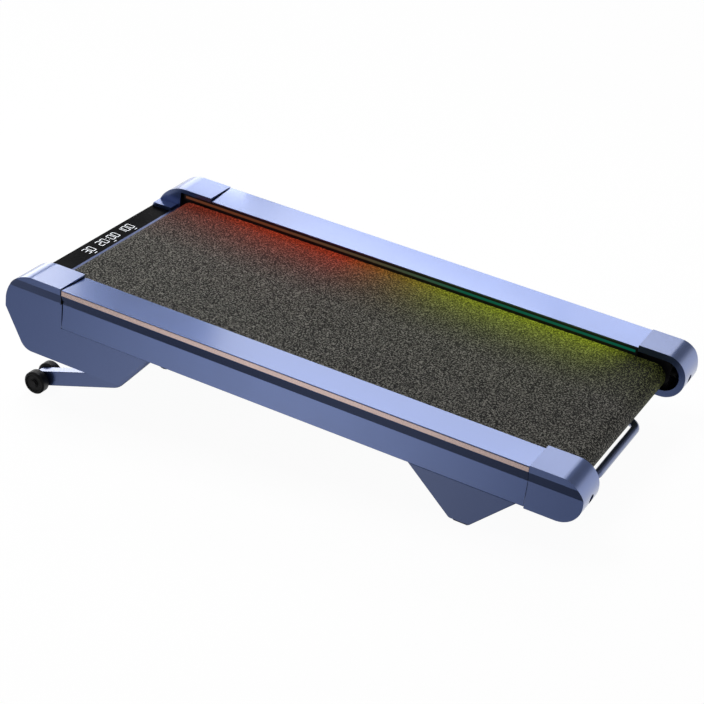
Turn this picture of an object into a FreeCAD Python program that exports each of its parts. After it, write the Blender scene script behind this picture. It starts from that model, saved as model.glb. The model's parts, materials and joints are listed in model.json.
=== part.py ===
"""Walking pad on a powered lift, as a parametric document of separate pieces (millimetres).

Every piece is modelled in the deck's own frame: x runs from the front seam of the side rails
to the rear, y to the walker's right, z up from the soles of the rear feet. The last step
tips the whole pad nose-up on its wheels, the way it stands on a level floor.
"""

import FreeCAD, Part
import math
import os
import re

import Sketcher
from FreeCAD import Placement, Rotation, Vector

SIZES = {
    # rails
    "deck_width": (540, "across both side rails"),
    "rail_length": (855, "side rail, end to end"),
    "rail_width": (70, "side rail, top face"),
    "rail_height": (76, "side rail, top to underside"),
    "stand_height": (149, "rail top above the rear soles"),
    "rail_wall": (3, "wall of the rail profile"),
    "rail_fall": (4, "fall of the rail top towards the belt"),
    "rail_crown": (8, "rail top above the frame tube"),
    "rail_rib": (4, "rail's inner rib in from the frame tube's edge"),
    "rail_skirt": (36, "depth of the rail's belt-side wall"),
    "rail_undercut": (6, "how far the lower side face steps in"),
    "crease_drop": (29, "crease of the side below the rail top"),
    "strip_drop": (1.5, "accent groove below the rail top"),
    "strip_height": (9, "accent groove, height"),
    "strip_depth": (1.5, "accent groove, depth"),
    "strip_gap": (0.5, "dark line left above the accent strip"),
    "channel_depth": (3, "light channel, depth"),
    "channel_lip": (3, "rail lip over the light channel"),
    "light_drop": (10, "light bar below the rail top"),
    "light_height": (5, "light bar, height"),
    "light_depth": (1.5, "light bar set into its channel"),
    "light_end": (4, "light bar short of its channel's end"),
    # frame and deck
    "frame_gap": (12, "frame tube outboard of the rail's belt edge"),
    "frame_width": (30, "frame tube, width"),
    "frame_lift": (4, "frame tube above the rail's underside"),
    "frame_wall": (2.5, "frame tube, wall"),
    "tail_room": (31, "frame tube short of the end cap's end"),
    "tail_plate": (4, "plate that closes the frame tube's rear end"),
    "cross_width": (30, "deck cross member, width"),
    "cross_clear": (5, "deck cross member above the belt's return run"),
    "cross_first": (60, "first cross member behind the seam"),
    "cross_count": (4, "cross members"),
    "cushion_size": (30, "deck cushion, side"),
    "cushion_height": (8, "deck cushion, height"),
    "cushion_set": (50, "deck cushion in from the rail"),
    "board_clear": (10, "deck board in from the rail"),
    "deck_thick": (15, "deck board, thickness"),
    "deck_end_gap": (15, "deck board to the roller tube"),
    "strap_thick": (4, "belly strap, thickness"),
    "strap_width": (30, "belly strap, width"),
    "front_strap_x": (35, "front belly strap"),
    "strap_back": (55, "rear belly strap behind the lift pivot"),
    "strap_clear": (3.5, "handle strap behind the foot's seat"),
    # belt and rollers
    "belt_drop": (19, "belt top below the rail top"),
    "belt_thick": (2, "running belt, thickness"),
    "belt_clear": (3, "running belt to the rail"),
    "belt_gap": (0.3, "roller to belt"),
    "loop_clear": (7, "running belt's return run above the rail's underside"),
    "roller_wall": (2.7, "roller tube, wall"),
    "roller_clear": (1, "roller tube in from the rail"),
    "front_axle_x": (38, "front roller ahead of the seam"),
    "rear_axle_x": (33, "rear roller behind the rail"),
    "axle_radius": (7.5, "roller axles"),
    "axle_short": (6, "axle end in from the frame tube's outer face"),
    "running_fit": (0.05, "radial clearance of a turning fit"),
    "bearing_width": (12, "roller bearing, width"),
    "bearing_inset": (2, "roller bearing in from the tube's end"),
    "tension_slot": (26, "slot for the rear axle, length"),
    "bolt_radius": (4, "belt tension bolt"),
    "bolt_head": (6.5, "belt tension bolt, head radius"),
    "bolt_reach": (8, "bolt end ahead of the rear axle"),
    # covers and caps
    "cover_wall": (3, "wall of the moulded covers"),
    "cap_proud": (1.5, "caps above the rail top"),
    "seam_gap": (2, "groove between front cover and rail"),
    "nose_reach": (118, "nose ahead of the seam"),
    "nose_flat": (8, "flat behind the nose's round"),
    "nose_drop": (72, "nose corner below the rail top"),
    "chin_reach": (76, "chin ahead of the seam"),
    "cover_heel": (112, "front cover, lower rear corner"),
    "cover_tail": (172, "front cover, end under the rail"),
    "heel_round": (10, "radius of the cover's heel"),
    "cover_rim": (12, "returned rim of the front cover"),
    "seat_reach": (50, "seat of a cover on the frame tube, length"),
    "seat_set": (10, "seat of a cover from the rail's end"),
    "arch_drop": (7, "lift arm opening below the rail"),
    "channel_front": (60, "light channel ahead of the seam"),
    "hood_side_drop": (50, "cover's belt-side wall beside the hood"),
    "cap_gap": (0.5, "rail to rear end cap"),
    "cap_length": (91, "rear end cap"),
    "cap_drop": (3, "rear end cap below the rail"),
    "cap_set": (-1.5, "rear end cap outboard of the rail's belt edge"),
    "cap_flat": (1, "half height of the flat between the end cap's rounds"),
    "cap_rim": (11, "rim round the end cap's inner mouth"),
    "access_radius": (8, "hole for the belt tension key"),
    "foot_end": (12, "rear foot ahead of the rail's rear end"),
    "foot_back": (69, "run of the foot's rear slope"),
    "foot_sole": (35, "rear foot, length of the sole"),
    "foot_slope": (82, "run of the foot's front slope"),
    "foot_width": (50, "rear foot, across"),
    "foot_round": (8, "radius of the foot's toe"),
    "foot_seat": (42, "half length of the foot's seat under the frame"),
    "foot_rib": (3, "stiffening rib in the foot"),
    "pad_thick": (3, "rubber foot pad"),
    "pad_inset": (3, "rubber pad in from the sole's edge"),
    # hood and display
    "hood_gap": (0.3, "hood to the covers"),
    "hood_clear": (5, "hood behind the belt's front turn"),
    "hood_drop": (42, "hood top below the rail top"),
    "hood_foot": (50, "hood's lower rear edge ahead of the seam"),
    "step_drop": (13, "hood's step below the rail"),
    "arch_width": (35, "wheel opening beside the hood"),
    "lug_clear": (1, "hood lug below the cover's wall"),
    "lug_height": (12, "hood lug on the frame tube"),
    "lug_length": (7, "hood lug, length"),
    "ledge_drop": (33, "hood end ledge below the rail top"),
    "ledge_width": (22, "hood end ledge, width"),
    "trim_set": (6, "trim bar ahead of the hood's rear wall"),
    "trim_width": (6, "trim bar"),
    "trim_height": (4, "trim bar, height"),
    "glass_thick": (2, "display window"),
    "glass_gap": (0.5, "display window to its frame"),
    "board_set": (38, "display board in from the end ledges"),
    "board_front": (14, "display board behind the nose"),
    "board_thick": (2, "display board, thickness"),
    "digit_height": (4, "display digit block, height"),
    "digit_gap": (6, "gap between the digit blocks"),
    "digit_end": (44, "digit blocks in from the display board's end"),
    # belly
    "pan_wall": (2.5, "belly pan, wall"),
    "pan_set": (40, "belly pan in from the rail"),
    "pan_tail": (9, "belly pan behind the lift motor"),
    "pan_rake": (30, "belly pan, slope of the rear wall"),
    "pan_tab": (16, "screw tab of the belly pan"),
    "notch_clear": (2, "belly pan's notch round the lift arm's boss"),
    "screw_radius": (2.5, "pan screw"),
    "screw_head": (5, "pan screw, head radius"),
    # drive
    "motor_x": (0, "motor axis behind the seam"),
    "motor_drop": (22, "motor axis below the rail"),
    "motor_radius": (24, "motor casing"),
    "motor_set": (20, "motor casing in from the pan's side"),
    "motor_length": (130, "motor casing, length"),
    "motor_bell": (8, "motor end bell, length"),
    "bell_step": (2, "motor end bell inside the casing's radius"),
    "shaft_radius": (5, "motor shaft"),
    "drive_ratio": (2, "turns of the motor to one of the roller"),
    "pulley_step": (1.7, "roller pulley inside the roller's radius"),
    "pulley_groove": (1.5, "pulley groove, depth"),
    "pulley_width": (12, "pulleys, width"),
    "drive_thick": (3, "drive belt, thickness"),
    "drive_width": (8, "drive belt, width"),
    "mount_half": (30, "motor mount, half width"),
    "control_x": (80, "control box, front"),
    "control_length": (70, "control box, length"),
    "control_set": (20, "control box in from the pan's side"),
    "control_width": (110, "control box, width"),
    "control_height": (26, "control box, height"),
    "fin_height": (5, "cooling fin, height"),
    "fin_thick": (2.5, "cooling fin, thickness"),
    "fin_set": (5, "cooling fins in from the control box's edge"),
    "fin_count": (10, "cooling fins"),
    # lift
    "pivot_x": (180, "lift pivot behind the seam"),
    "pivot_drop": (14, "lift pivot below the rail"),
    "lift_tube": (11, "lift tube, radius"),
    "lift_boss": (15, "lift arm boss, radius"),
    "arm_set": (7, "lift arm's inner face in from the rail"),
    "arm_thick": (19, "lift arm, thickness"),
    "arm_depth": (27, "lift arm, depth of the bar"),
    "arm_tip": (13, "lift arm ahead of the wheel axle"),
    "knee_set": (94, "lift arm's lower knee ahead of the pivot"),
    "arm_knee_drop": (108.8, "lift arm, lower knee below the rail"),
    "arm_knee_round": (40, "radius of the lower knee"),
    "neck_set": (30, "lift arm's neck ahead of the pivot"),
    "arm_neck_back": (26, "lift arm, neck length"),
    "bracket_gap": (2, "lift arm to its bracket"),
    "bracket_thick": (10, "lift bracket"),
    "crank_radius": (35, "lift crank"),
    "crank_lean": (10.25, "lean of the crank at rest, degrees"),
    "pan_clear": (6.5, "crank eye above the belly pan's floor"),
    "crank_boss": (16, "crank boss at the tube"),
    "crank_eye": (9, "crank eye at the pin"),
    "crank_gap": (6, "crank plate, inner face"),
    "crank_thick": (5, "crank plate"),
    "pin_radius": (5, "crank pin"),
    "eye_half": (5, "rod eye, half width"),
    "eye_nose": (3, "rod eye ahead of the crank eye"),
    "eye_heel": (5, "rod eye behind the crank eye"),
    "eye_play": (0.3, "rod eye, play along the rod"),
    "eye_lift": (0.9, "rod eye, play across the rod"),
    "rod_radius": (6, "lift rod"),
    "rod_depth": (58, "lift rod inside the gearbox"),
    "gearbox_set": (52, "lift gearbox behind the lift pivot"),
    "gearbox_length": (74, "lift gearbox, length"),
    "gearbox_half": (24, "lift gearbox, half width"),
    "gearbox_height": (38, "lift gearbox, height"),
    "lift_motor": (18, "lift motor, radius"),
    "lift_motor_length": (55, "lift motor, length"),
    # wheels
    "wheel_x": (78, "wheel axle ahead of the seam"),
    "wheel_drop": (152.5, "wheel axle below the rail"),
    "wheel_radius": (21, "lift wheel"),
    "wheel_width": (19.5, "lift wheel, width"),
    "wheel_gap": (0.5, "lift wheel to its arm"),
    "wheel_round": (3, "shoulder of the wheel"),
    "wheel_dish": (2, "depth of the wheel's dished face"),
    "hub_ring": (14.5, "radius of the dished face"),
    "hub_boss": (8, "radius of the wheel's hub"),
    "pin_wheel": (4, "wheel axle, radius"),
    "pin_head": (6, "wheel axle, head radius"),
    "pin_head_thick": (1.5, "wheel axle, head thickness"),
    # handle
    "handle_half": (105, "handle leg from the middle"),
    "handle_reach": (54, "handle grip behind the rail"),
    "handle_drop": (13, "handle below the rail"),
    "handle_tube": (7.5, "handle tube, radius"),
    "handle_bend": (25, "handle bend"),
    "clamp_half": (16, "handle clamp, half width"),
    "clamp_thick": (7, "handle clamp under the leg"),
    "clamp_set": (2, "handle clamp in from the strap's edge"),
    # mains panel
    "panel_set": (41, "mains panel in from the wheel opening"),
    "panel_width": (76, "mains panel, width"),
    "panel_drop": (15, "mains panel below the rail"),
    "panel_height": (34, "mains panel, height"),
    "panel_fit": (0.3, "mains panel in its window"),
    "panel_back": (84, "mains panel, back wall ahead of the seam"),
    "panel_wall": (2.5, "mains panel, wall"),
    "inlet_set": (22, "mains inlet in from the panel's left edge"),
    "inlet_width": (24, "mains inlet, width of the socket"),
    "inlet_height": (16, "mains inlet, height of the socket"),
    "inlet_depth": (18, "mains inlet, depth of the socket"),
    "inlet_wall": (2, "mains inlet, wall"),
    "switch_set": (19, "rocker switch in from the panel's right edge"),
    "rocker_width": (12, "rocker, width"),
    "rocker_height": (18, "rocker, height"),
    "rocker_thick": (7, "rocker, depth"),
    "rocker_tilt": (8, "rocker tilt when off, degrees"),
    "rocker_play": (1.2, "rocker to its frame"),
    "rocker_pin": (1.5, "rocker pivot, radius"),
    "rocker_pivot": (3, "rocker pivot behind its frame's face"),
    "switch_depth": (12, "switch housing, depth"),
    # working allowances
    "past": (2, "how far a cut runs past the solid that it opens"),
    "weld": (1, "how far two solids of one piece run into each other"),
    "hair": (0.01, "flat between two grooves of a pulley"),
}

# Sizes that follow from the ones above, each with the clearance that keeps its piece in place.
LINKED = {
    "inner_half": ("deck_width / 2 - rail_width", "rail's belt edge from the middle"),
    "underside": ("stand_height - rail_height", "rail's underside above the rear soles"),
    "frame_tail": ("cap_length - tail_room", "frame tube behind the rail"),
    "belt_side_drop": ("rail_fall + channel_lip", "cover's belt-side wall beside the belt"),
    "nose_round": ("min(nose_reach - hood_foot, nose_drop + cap_proud) - nose_flat", "radius of the nose"),
    "chin_round": ("chin_reach - hood_foot", "radius of the chin"),
    "lug_drop": ("hood_side_drop + lug_clear + lug_height", "hood lug below the rail top"),
    "cover_drop": ("pivot_drop + crank_radius + crank_eye + pan_clear + pan_wall",
                   "front cover below the rail"),
    "frame_height": ("rail_height - rail_crown - frame_lift", "frame tube, height"),
    "roller_radius": ("(rail_height - belt_drop - loop_clear) / 2 - belt_thick - belt_gap",
                      "roller tube, outside"),
    "roller_pulley": ("roller_radius - pulley_step", "roller pulley, radius"),
    "motor_pulley": ("roller_pulley / drive_ratio", "motor pulley, radius"),
    "hood_back": ("front_axle_x + roller_radius + belt_gap + belt_thick + hood_clear", "hood's rear wall"),
    "frame_front": ("hood_back + lug_length", "frame tube ahead of the front seam"),
    "trim_front": ("hood_back + trim_set", "trim bar, front edge ahead of the seam"),
    "board_width": ("nose_reach - trim_front - board_front", "display board, width"),
    "roller_bore": ("roller_radius - roller_wall", "roller tube, inside"),
    "roller_length": ("2 * (inner_half - roller_clear)", "roller tube, length"),
    "axle_length": ("2 * (inner_half + frame_gap + frame_width - axle_short)", "roller axles, length"),
    "belt_width": ("2 * (inner_half - belt_clear)", "running belt, width"),
    "deck_board_width": ("2 * (inner_half - board_clear)", "deck board, width"),
    "cross_pitch": ("(rail_length - 2 * cross_first) / (cross_count - 1)", "cross member spacing"),
    "cross_height": ("2 * (roller_radius + belt_gap) - deck_thick - cushion_height - cross_clear",
                     "deck cross member, height"),
    "cushion_reach": ("inner_half - cushion_set", "deck cushion from the middle"),
    "cover_clear": ("underside - cover_drop", "front cover above the soles' level"),
    "wheel_arch": ("underside - arch_drop", "lift arm opening, top"),
    "cap_round": ("(rail_height + cap_proud + cap_drop) / 2 - cap_flat", "radius of the rear end cap"),
    "cap_mouth": ("cap_round - cap_rim", "half height of the end cap's inner mouth"),
    "foot_tail": ("rail_length - foot_end", "rear foot, rear end under the rail"),
    "foot_heel": ("foot_tail - foot_back", "rear foot, back of the sole"),
    "foot_toe": ("foot_heel - foot_sole", "rear foot, front of the sole"),
    "foot_front": ("foot_toe - foot_slope", "rear foot, front end under the rail"),
    "hood_step": ("underside - step_drop", "hood's step under the roller"),
    "hood_half": ("inner_half - arch_width", "half width of the hood between the wheels"),
    "ledge_half": ("inner_half - ledge_width", "half width between the end ledges"),
    "board_half": ("ledge_half - board_set", "display board, half length"),
    "digit_half": ("(board_half - digit_end - digit_gap) / 3", "display digit block, half length"),
    "digit_pitch": ("2 * digit_half + digit_gap", "display digit block spacing"),
    "digit_margin": ("board_width / 5", "digit block in from the display board's edge"),
    "pan_half": ("inner_half - pan_set", "belly pan, half width"),
    "motor_z": ("underside - motor_drop", "motor axis above the soles' level"),
    "motor_far": ("pan_half - motor_set", "motor casing, right end"),
    "motor_near": ("motor_far - motor_length", "motor casing, left end"),
    "bell_radius": ("motor_radius - bell_step", "motor end bell, radius"),
    "bolt_socket": ("bolt_radius * 0.7", "belt tension bolt, key socket's radius"),
    "control_near": ("pan_half - control_set - control_width", "control box, inner side"),
    "fin_pitch": ("(control_width - 2 * fin_set - fin_thick) / (fin_count - 1)", "cooling fin spacing"),
    "pivot_z": ("underside - pivot_drop", "lift pivot above the soles' level"),
    "rear_strap_x": ("pivot_x + strap_back", "rear belly strap"),
    "gearbox_x": ("pivot_x + gearbox_set", "lift gearbox, front"),
    "rod_end": ("gearbox_x + rod_depth", "lift rod, rear end"),
    "pan_end": ("gearbox_x + gearbox_length + lift_motor_length + pan_rake + pan_tail",
                "belly pan, rear end"),
    "arm_knee_x": ("pivot_x - knee_set", "lift arm, lower knee"),
    "arm_neck_x": ("pivot_x - neck_set", "lift arm, neck under the rail"),
    "arm_inner": ("inner_half - arm_set", "lift arm, inner face from the middle"),
    "arm_round": ("arm_depth * 0.4", "radius of the lift arm's tip"),
    "arm_knee_z": ("arm_knee_drop - underside", "lift arm, lower knee below the soles' level"),
    "wheel_z": ("wheel_drop - underside", "wheel axle below the soles' level"),
    "handle_strap_x": ("(foot_toe + foot_heel) / 2 + foot_seat + strap_clear", "handle strap"),
    "handle_x": ("rail_length + handle_reach", "handle grip"),
    "handle_z": ("underside - handle_drop", "handle above the soles' level"),
    "panel_high": ("underside - panel_drop", "mains panel, upper edge"),
    "panel_low": ("panel_high - panel_height", "mains panel, lower edge"),
    "panel_right": ("hood_half - panel_set", "mains panel, right edge from the middle"),
    "panel_left": ("panel_right - panel_width", "mains panel, left edge from the middle"),
    "inlet_y": ("panel_left + inlet_set", "mains inlet from the middle"),
    "switch_y": ("panel_right - switch_set", "rocker switch from the middle"),
    "pivot_seat": ("inlet_wall * 0.75", "seat of the rocker's pivot, depth"),
    "pivot_reach": ("inlet_wall / 2", "rocker's pivot into its seat"),
}

doc = FreeCAD.newDocument("walking_pad")
sheet = doc.addObject("Spreadsheet::Sheet", "Sizes")
linked = {alias: ("=" + formula, note) for alias, (formula, note) in LINKED.items()}
ALIASES = {**SIZES, **linked}
for row, (alias, (content, note)) in enumerate(ALIASES.items(), 1):
    sheet.set(f"A{row}", alias)
    sheet.set(f"B{row}", str(content))
    sheet.setAlias(f"B{row}", alias)
    sheet.set(f"C{row}", note)
doc.recompute()

PIECES = []
LEFT, RIGHT = -1, 1
TOUCH = 1e-4
SIDES = (("left", LEFT), ("right", RIGHT))

# Levels and lines that several pieces share, as expressions on the sheet.
HALF = "(deck_width / 2)"
INNER = "inner_half"
SIDE = "(deck_width / 2 - rail_undercut)"
UNDER = "underside"
BAND = "(stand_height - strip_drop - strip_height)"
CREASE = "(stand_height - crease_drop)"
CAP_TOP = "(stand_height + cap_proud)"
NOSE_Z = "(stand_height + cap_proud - nose_round)"
FRAME_IN = f"({INNER} + frame_gap)"
FRAME_OUT = f"({INNER} + frame_gap + frame_width)"
FRAME_MID = f"({INNER} + frame_gap + frame_width / 2)"
FRAME_TOP = "(stand_height - rail_crown)"
FRAME_UNDER = "(stand_height - rail_crown - frame_height)"
FRAME_END = "(rail_length + frame_tail)"
STRAP_UNDER = f"({FRAME_UNDER} - strap_thick)"
DECK_TOP = "(stand_height - belt_drop - belt_thick)"
CROSS_TOP = f"({DECK_TOP} - deck_thick - cushion_height)"
LOOP = "(roller_radius + belt_gap)"
AXLE_Z = f"({DECK_TOP} - {LOOP})"
REAR_X = "(rail_length + rear_axle_x)"
HOOD_TOP = "(stand_height - hood_drop)"
LEDGE_TOP = "(stand_height - ledge_drop)"
PAN_FLOOR = "(cover_clear + pan_wall)"
ARM_OUTER = "(arm_inner + arm_thick)"
PULLEY_NEAR = "(roller_length / 2)"
DRIVE_MID = "(roller_length / 2 + pulley_width / 2)"
PIVOT = ("pivot_x", "pivot_z")
PIN_X = "(pivot_x + crank_radius * sin(crank_lean))"
PIN_Z = "(pivot_z - crank_radius * cos(crank_lean))"
ROD_Z = "(pivot_z - crank_radius * (1 + cos(crank_lean)) / 2)"
PANEL_Z = "((panel_low + panel_high) / 2)"
ROCKER_FACE = "(-panel_back - inlet_wall)"
ROCKER_PIVOT = (f"({ROCKER_FACE} + rocker_pivot)", PANEL_Z)
SCREW_HOLE = "screw_radius + running_fit"
BOLT_HOLE = "bolt_radius + running_fit"


def on_sheet(text):
    """The expression with each size's name pointed at its cell."""
    return re.sub(r"[a-z_]+", lambda word: "Sizes." + word[0] if word[0] in ALIASES else word[0], str(text))


def size(alias):
    """A size as a number, for the few places that are worked out here and not in the document."""
    return float(sheet.get(alias))


def bind(obj, bindings):
    for path, text in bindings.items():
        obj.setExpression(path, on_sheet(text))
    return obj


def less(high, low):
    return f"({high}) - ({low})"


def span(side, near, far):
    """The y range from near to far on one side of the pad, low end first."""
    return (near, far) if side == RIGHT else (f"-({far})", f"-({near})")


def at(obj, x, y, z):
    return bind(obj, {"Placement.Base.x": x, "Placement.Base.y": y, "Placement.Base.z": z})


def box(name, x, y, z):
    obj = bind(
        doc.addObject("Part::Box", name),
        {"Length": less(x[1], x[0]), "Width": less(y[1], y[0]), "Height": less(z[1], z[0])},
    )
    return at(obj, x[0], y[0], z[0])


def rod(name, axis, radius, start, length):
    """A round bar along x, y or z from its start point."""
    turn = {"x": Rotation(Vector(0, 1, 0), 90), "y": Rotation(Vector(1, 0, 0), -90), "z": Rotation()}[axis]
    obj = doc.addObject("Part::Cylinder", name)
    obj.Placement = Placement(Vector(), turn)
    bind(obj, {"Radius": radius, "Height": length})
    return at(obj, *start)


def fuse(name, solids):
    obj = doc.addObject("Part::MultiFuse", name)
    obj.Shapes = solids
    return obj


def cut(name, base, tools):
    obj = doc.addObject("Part::Cut", name)
    obj.Base = base
    obj.Tool = tools[0] if len(tools) == 1 else fuse(name + "_tools", tools)
    return obj


def group(name, solids):
    obj = doc.addObject("Part::Compound", name)
    obj.Links = solids
    return obj


def piece(obj, label):
    """Names a finished sub-part. Its label is also the name of its file."""
    obj.Label = label
    PIECES.append(obj)
    return obj


def new_body(name):
    return doc.addObject("PartDesign::Body", name + "_body")


PLANES = {"XZ": ("x", "z"), "YZ": ("y", "z"), "XY": ("x", "y")}


def new_sketch(body, plane, offset):
    """A sketch on one of the body's origin planes, moved along that plane's normal."""
    sketch = body.newObject("Sketcher::SketchObject", body.Name + "_sketch")
    origin = [item for item in body.Origin.OriginFeatures if item.Role == plane + "_Plane"][0]
    sketch.AttachmentSupport = [(origin, "")]
    sketch.MapMode = "FlatFace"
    return bind(sketch, {"AttachmentOffset.Base.z": offset})


def pin_point(sketch, line, end, point):
    """Ties one end of a sketch line to the expressions of its two coordinates."""
    for kind, text in zip(("DistanceX", "DistanceY"), point):
        index = sketch.addConstraint(Sketcher.Constraint(kind, -1, 1, line, end, 1.0))
        sketch.setExpression(f"Constraints[{index}]", on_sheet(text))


def draw_outline(sketch, points):
    """A closed outline of straight lines whose corners are expressions."""
    count = len(points)
    turns = [2 * math.pi * number / count for number in range(count)]
    rough = [Vector(math.cos(turn), math.sin(turn), 0) for turn in turns]
    for number in range(count):
        sketch.addGeometry(Part.LineSegment(rough[number], rough[(number + 1) % count]), False)
    for number in range(count):
        sketch.addConstraint(Sketcher.Constraint("Coincident", number, 2, (number + 1) % count, 1))
    for number, point in enumerate(points):
        pin_point(sketch, number, 1, point)


def draw_circle(sketch, centre, radius):
    circle = sketch.addGeometry(Part.Circle(Vector(0, 0, 0), Vector(0, 0, 1), 1), False)
    pin_point(sketch, circle, 3, centre)
    index = sketch.addConstraint(Sketcher.Constraint("Radius", circle, 1.0))
    sketch.setExpression(f"Constraints[{index}]", on_sheet(radius))


def settle(feature):
    """Works the document out up to a new feature, which has to come out whole."""
    doc.recompute()
    if not feature.isValid() or feature.Shape.isNull():
        raise RuntimeError(f"{feature.Name} failed: {feature.getStatusString()}")
    return feature


def grow(body, sketch, length):
    feature = body.newObject("PartDesign::Pad", body.Name + "_pad")
    feature.Profile = sketch
    return settle(bind(feature, {"Length": length}))


def carve(body, sketch, length):
    before = body.Shape.Volume
    feature = body.newObject("PartDesign::Pocket", body.Name + "_pocket")
    feature.Profile = sketch
    settle(bind(feature, {"Length": length}))
    if body.Shape.Volume >= before:
        raise RuntimeError(f"{feature.Name} cuts nothing")
    return feature


def prism(body, plane, points, reach, cutting=False):
    """Adds or cuts an outline pushed along its plane's normal between the two ends of reach."""
    towards_low = (plane == "XZ") != cutting
    start = reach[1] if towards_low else reach[0]
    sketch = new_sketch(body, plane, f"-({start})" if plane == "XZ" else start)
    if len(points) == 2 and isinstance(points[0], tuple):
        draw_circle(sketch, *points)
    else:
        draw_outline(sketch, points)
    (carve if cutting else grow)(body, sketch, less(reach[1], reach[0]))
    return sketch


def hull(body, first, second, reach, cutting=False):
    """Adds or cuts the outline round two discs, each (x, z, radius), with its straight common tangents."""
    (ax, az, ar), (bx, bz, br) = first, second
    dx, dz = f"({bx} - {ax})", f"({bz} - {az})"
    gap = f"sqrt({dx} ^ 2 + {dz} ^ 2)"
    ahead = f"(({ar} - {br}) / {gap})"
    aside = f"sqrt(1 - {ahead} ^ 2)"
    tangents = []
    for sign, discs in ((1, (first, second)), (-1, (second, first))):
        way_x = f"(({dx} * {ahead} - {sign} * {dz} * {aside}) / {gap})"
        way_z = f"(({dz} * {ahead} + {sign} * {dx} * {aside}) / {gap})"
        tangents += [(f"{x} + {radius} * {way_x}", f"{z} + {radius} * {way_z}") for x, z, radius in discs]
    prism(body, "XZ", tangents, reach, cutting)
    for x, z, radius in (first, second):
        prism(body, "XZ", [(x, z), radius], reach, cutting)


def rectangle(first, second):
    return [(first[0], second[0]), (first[1], second[0]), (first[1], second[1]), (first[0], second[1])]


def corners(sketch):
    return [line.StartPoint for line in sketch.Geometry]


def round_corners(body, plane, sketch, radii):
    """Fillets the edges that stand on numbered corners of an outline."""
    across, up = PLANES[plane]
    places = corners(sketch)
    for number, radius in radii.items():
        names = []
        base = body.Tip
        for index, edge in enumerate(base.Shape.Edges, 1):
            ends = [vertex.Point for vertex in edge.Vertexes]
            gaps = [
                math.hypot(getattr(end, across) - places[number].x, getattr(end, up) - places[number].y)
                for end in ends
            ]
            if max(gaps) < TOUCH:
                names.append(f"Edge{index}")
        fillet = body.newObject("PartDesign::Fillet", body.Name + "_round")
        fillet.Base = (base, names)
        settle(bind(fillet, {"Radius": radius}))


def faces_on_side(shape, plane, sketch, number):
    """The faces that an outline's side has become."""
    across, up = PLANES[plane]
    line = sketch.Geometry[number]
    along = line.EndPoint - line.StartPoint
    names = []
    for index, face in enumerate(shape.Faces, 1):
        offs = []
        for vertex in face.Vertexes:
            point = Vector(getattr(vertex.Point, across), getattr(vertex.Point, up), 0) - line.StartPoint
            offs.append(along.cross(point).Length / along.Length)
        if max(offs) < TOUCH:
            names.append(f"Face{index}")
    return names


def faces_at(shape, axis, place):
    """The flat faces that lie square to an axis at a place on it."""
    names = []
    for index, face in enumerate(shape.Faces, 1):
        if max(abs(getattr(vertex.Point, axis) - place) for vertex in face.Vertexes) < TOUCH:
            names.append(f"Face{index}")
    return names


def hollow(body, wall, open_faces):
    base = body.Tip
    shell = body.newObject("PartDesign::Thickness", body.Name + "_shell")
    shell.Base = (base, open_faces)
    shell.Reversed = True
    shell.Join = "Intersection"
    settle(bind(shell, {"Value": wall}))


def spin(body, centre, points):
    """Turns a half section, given as (radius, y) corners, about the y line through centre (x, z)."""
    sketch = new_sketch(body, "XY", centre[1])
    bind(sketch, {"AttachmentOffset.Base.x": centre[0]})
    draw_outline(sketch, points)
    feature = body.newObject("PartDesign::Revolution", body.Name + "_turn")
    feature.Profile = sketch
    feature.ReferenceAxis = (sketch, ["V_Axis"])
    feature.Angle = 360
    settle(feature)


def carve_side_band(body, side, x):
    """Cuts the undercut band and the stepped-in side face that run on from the rail."""
    outside = f"{side} * ({HALF} + past)"
    points = [(outside, BAND), (f"{side} * {HALF}", BAND), (f"{side} * {SIDE}", CREASE),
              (f"{side} * {SIDE}", "cover_clear - past"), (outside, "cover_clear - past")]
    prism(body, "YZ", points, x, cutting=True)


def side_rail(name, side):
    body = new_body("side_rail_" + name)
    groove = f"({HALF} - strip_depth)"
    strip_top = "(stand_height - strip_drop)"
    lip = "(stand_height - rail_fall - channel_lip)"
    skirt = "(stand_height - rail_skirt)"
    back = f"({INNER} + channel_depth)"
    ceiling = "(stand_height - rail_fall - rail_wall)"
    section = [
        (HALF, "stand_height"), (HALF, strip_top), (groove, strip_top), (groove, BAND), (HALF, BAND),
        (SIDE, CREASE), (SIDE, UNDER), (f"{SIDE} - rail_wall", UNDER), (f"{SIDE} - rail_wall", CREASE),
        (f"{HALF} - rail_wall - strip_depth", BAND), (f"{HALF} - rail_wall - strip_depth", ceiling),
    ]
    # Two ribs stand on the frame tube and carry the top.
    for rib in (f"({FRAME_OUT} - rail_rib)", f"({FRAME_IN} + rail_rib)"):
        low, high = f"{rib} - rail_wall / 2", f"{rib} + rail_wall / 2"
        section += [(high, ceiling), (high, FRAME_TOP), (low, FRAME_TOP), (low, ceiling)]
    section += [
        (f"{back} + rail_wall", ceiling), (f"{back} + rail_wall", skirt), (back, skirt), (back, lip),
        (INNER, lip), (INNER, "stand_height - rail_fall"),
    ]
    prism(body, "YZ", [(f"{side} * ({y})", z) for y, z in section], ("0", "rail_length"))
    piece(body, "side_rail_" + name)


def accent_strip(name, side):
    y = span(side, f"{HALF} - strip_depth", HALF)
    strip = box("strip_" + name, ("0", "rail_length"), y, (BAND, f"{BAND} + strip_height - strip_gap"))
    piece(group("accent_" + name, [strip]), "accent_strip_" + name)


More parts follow.
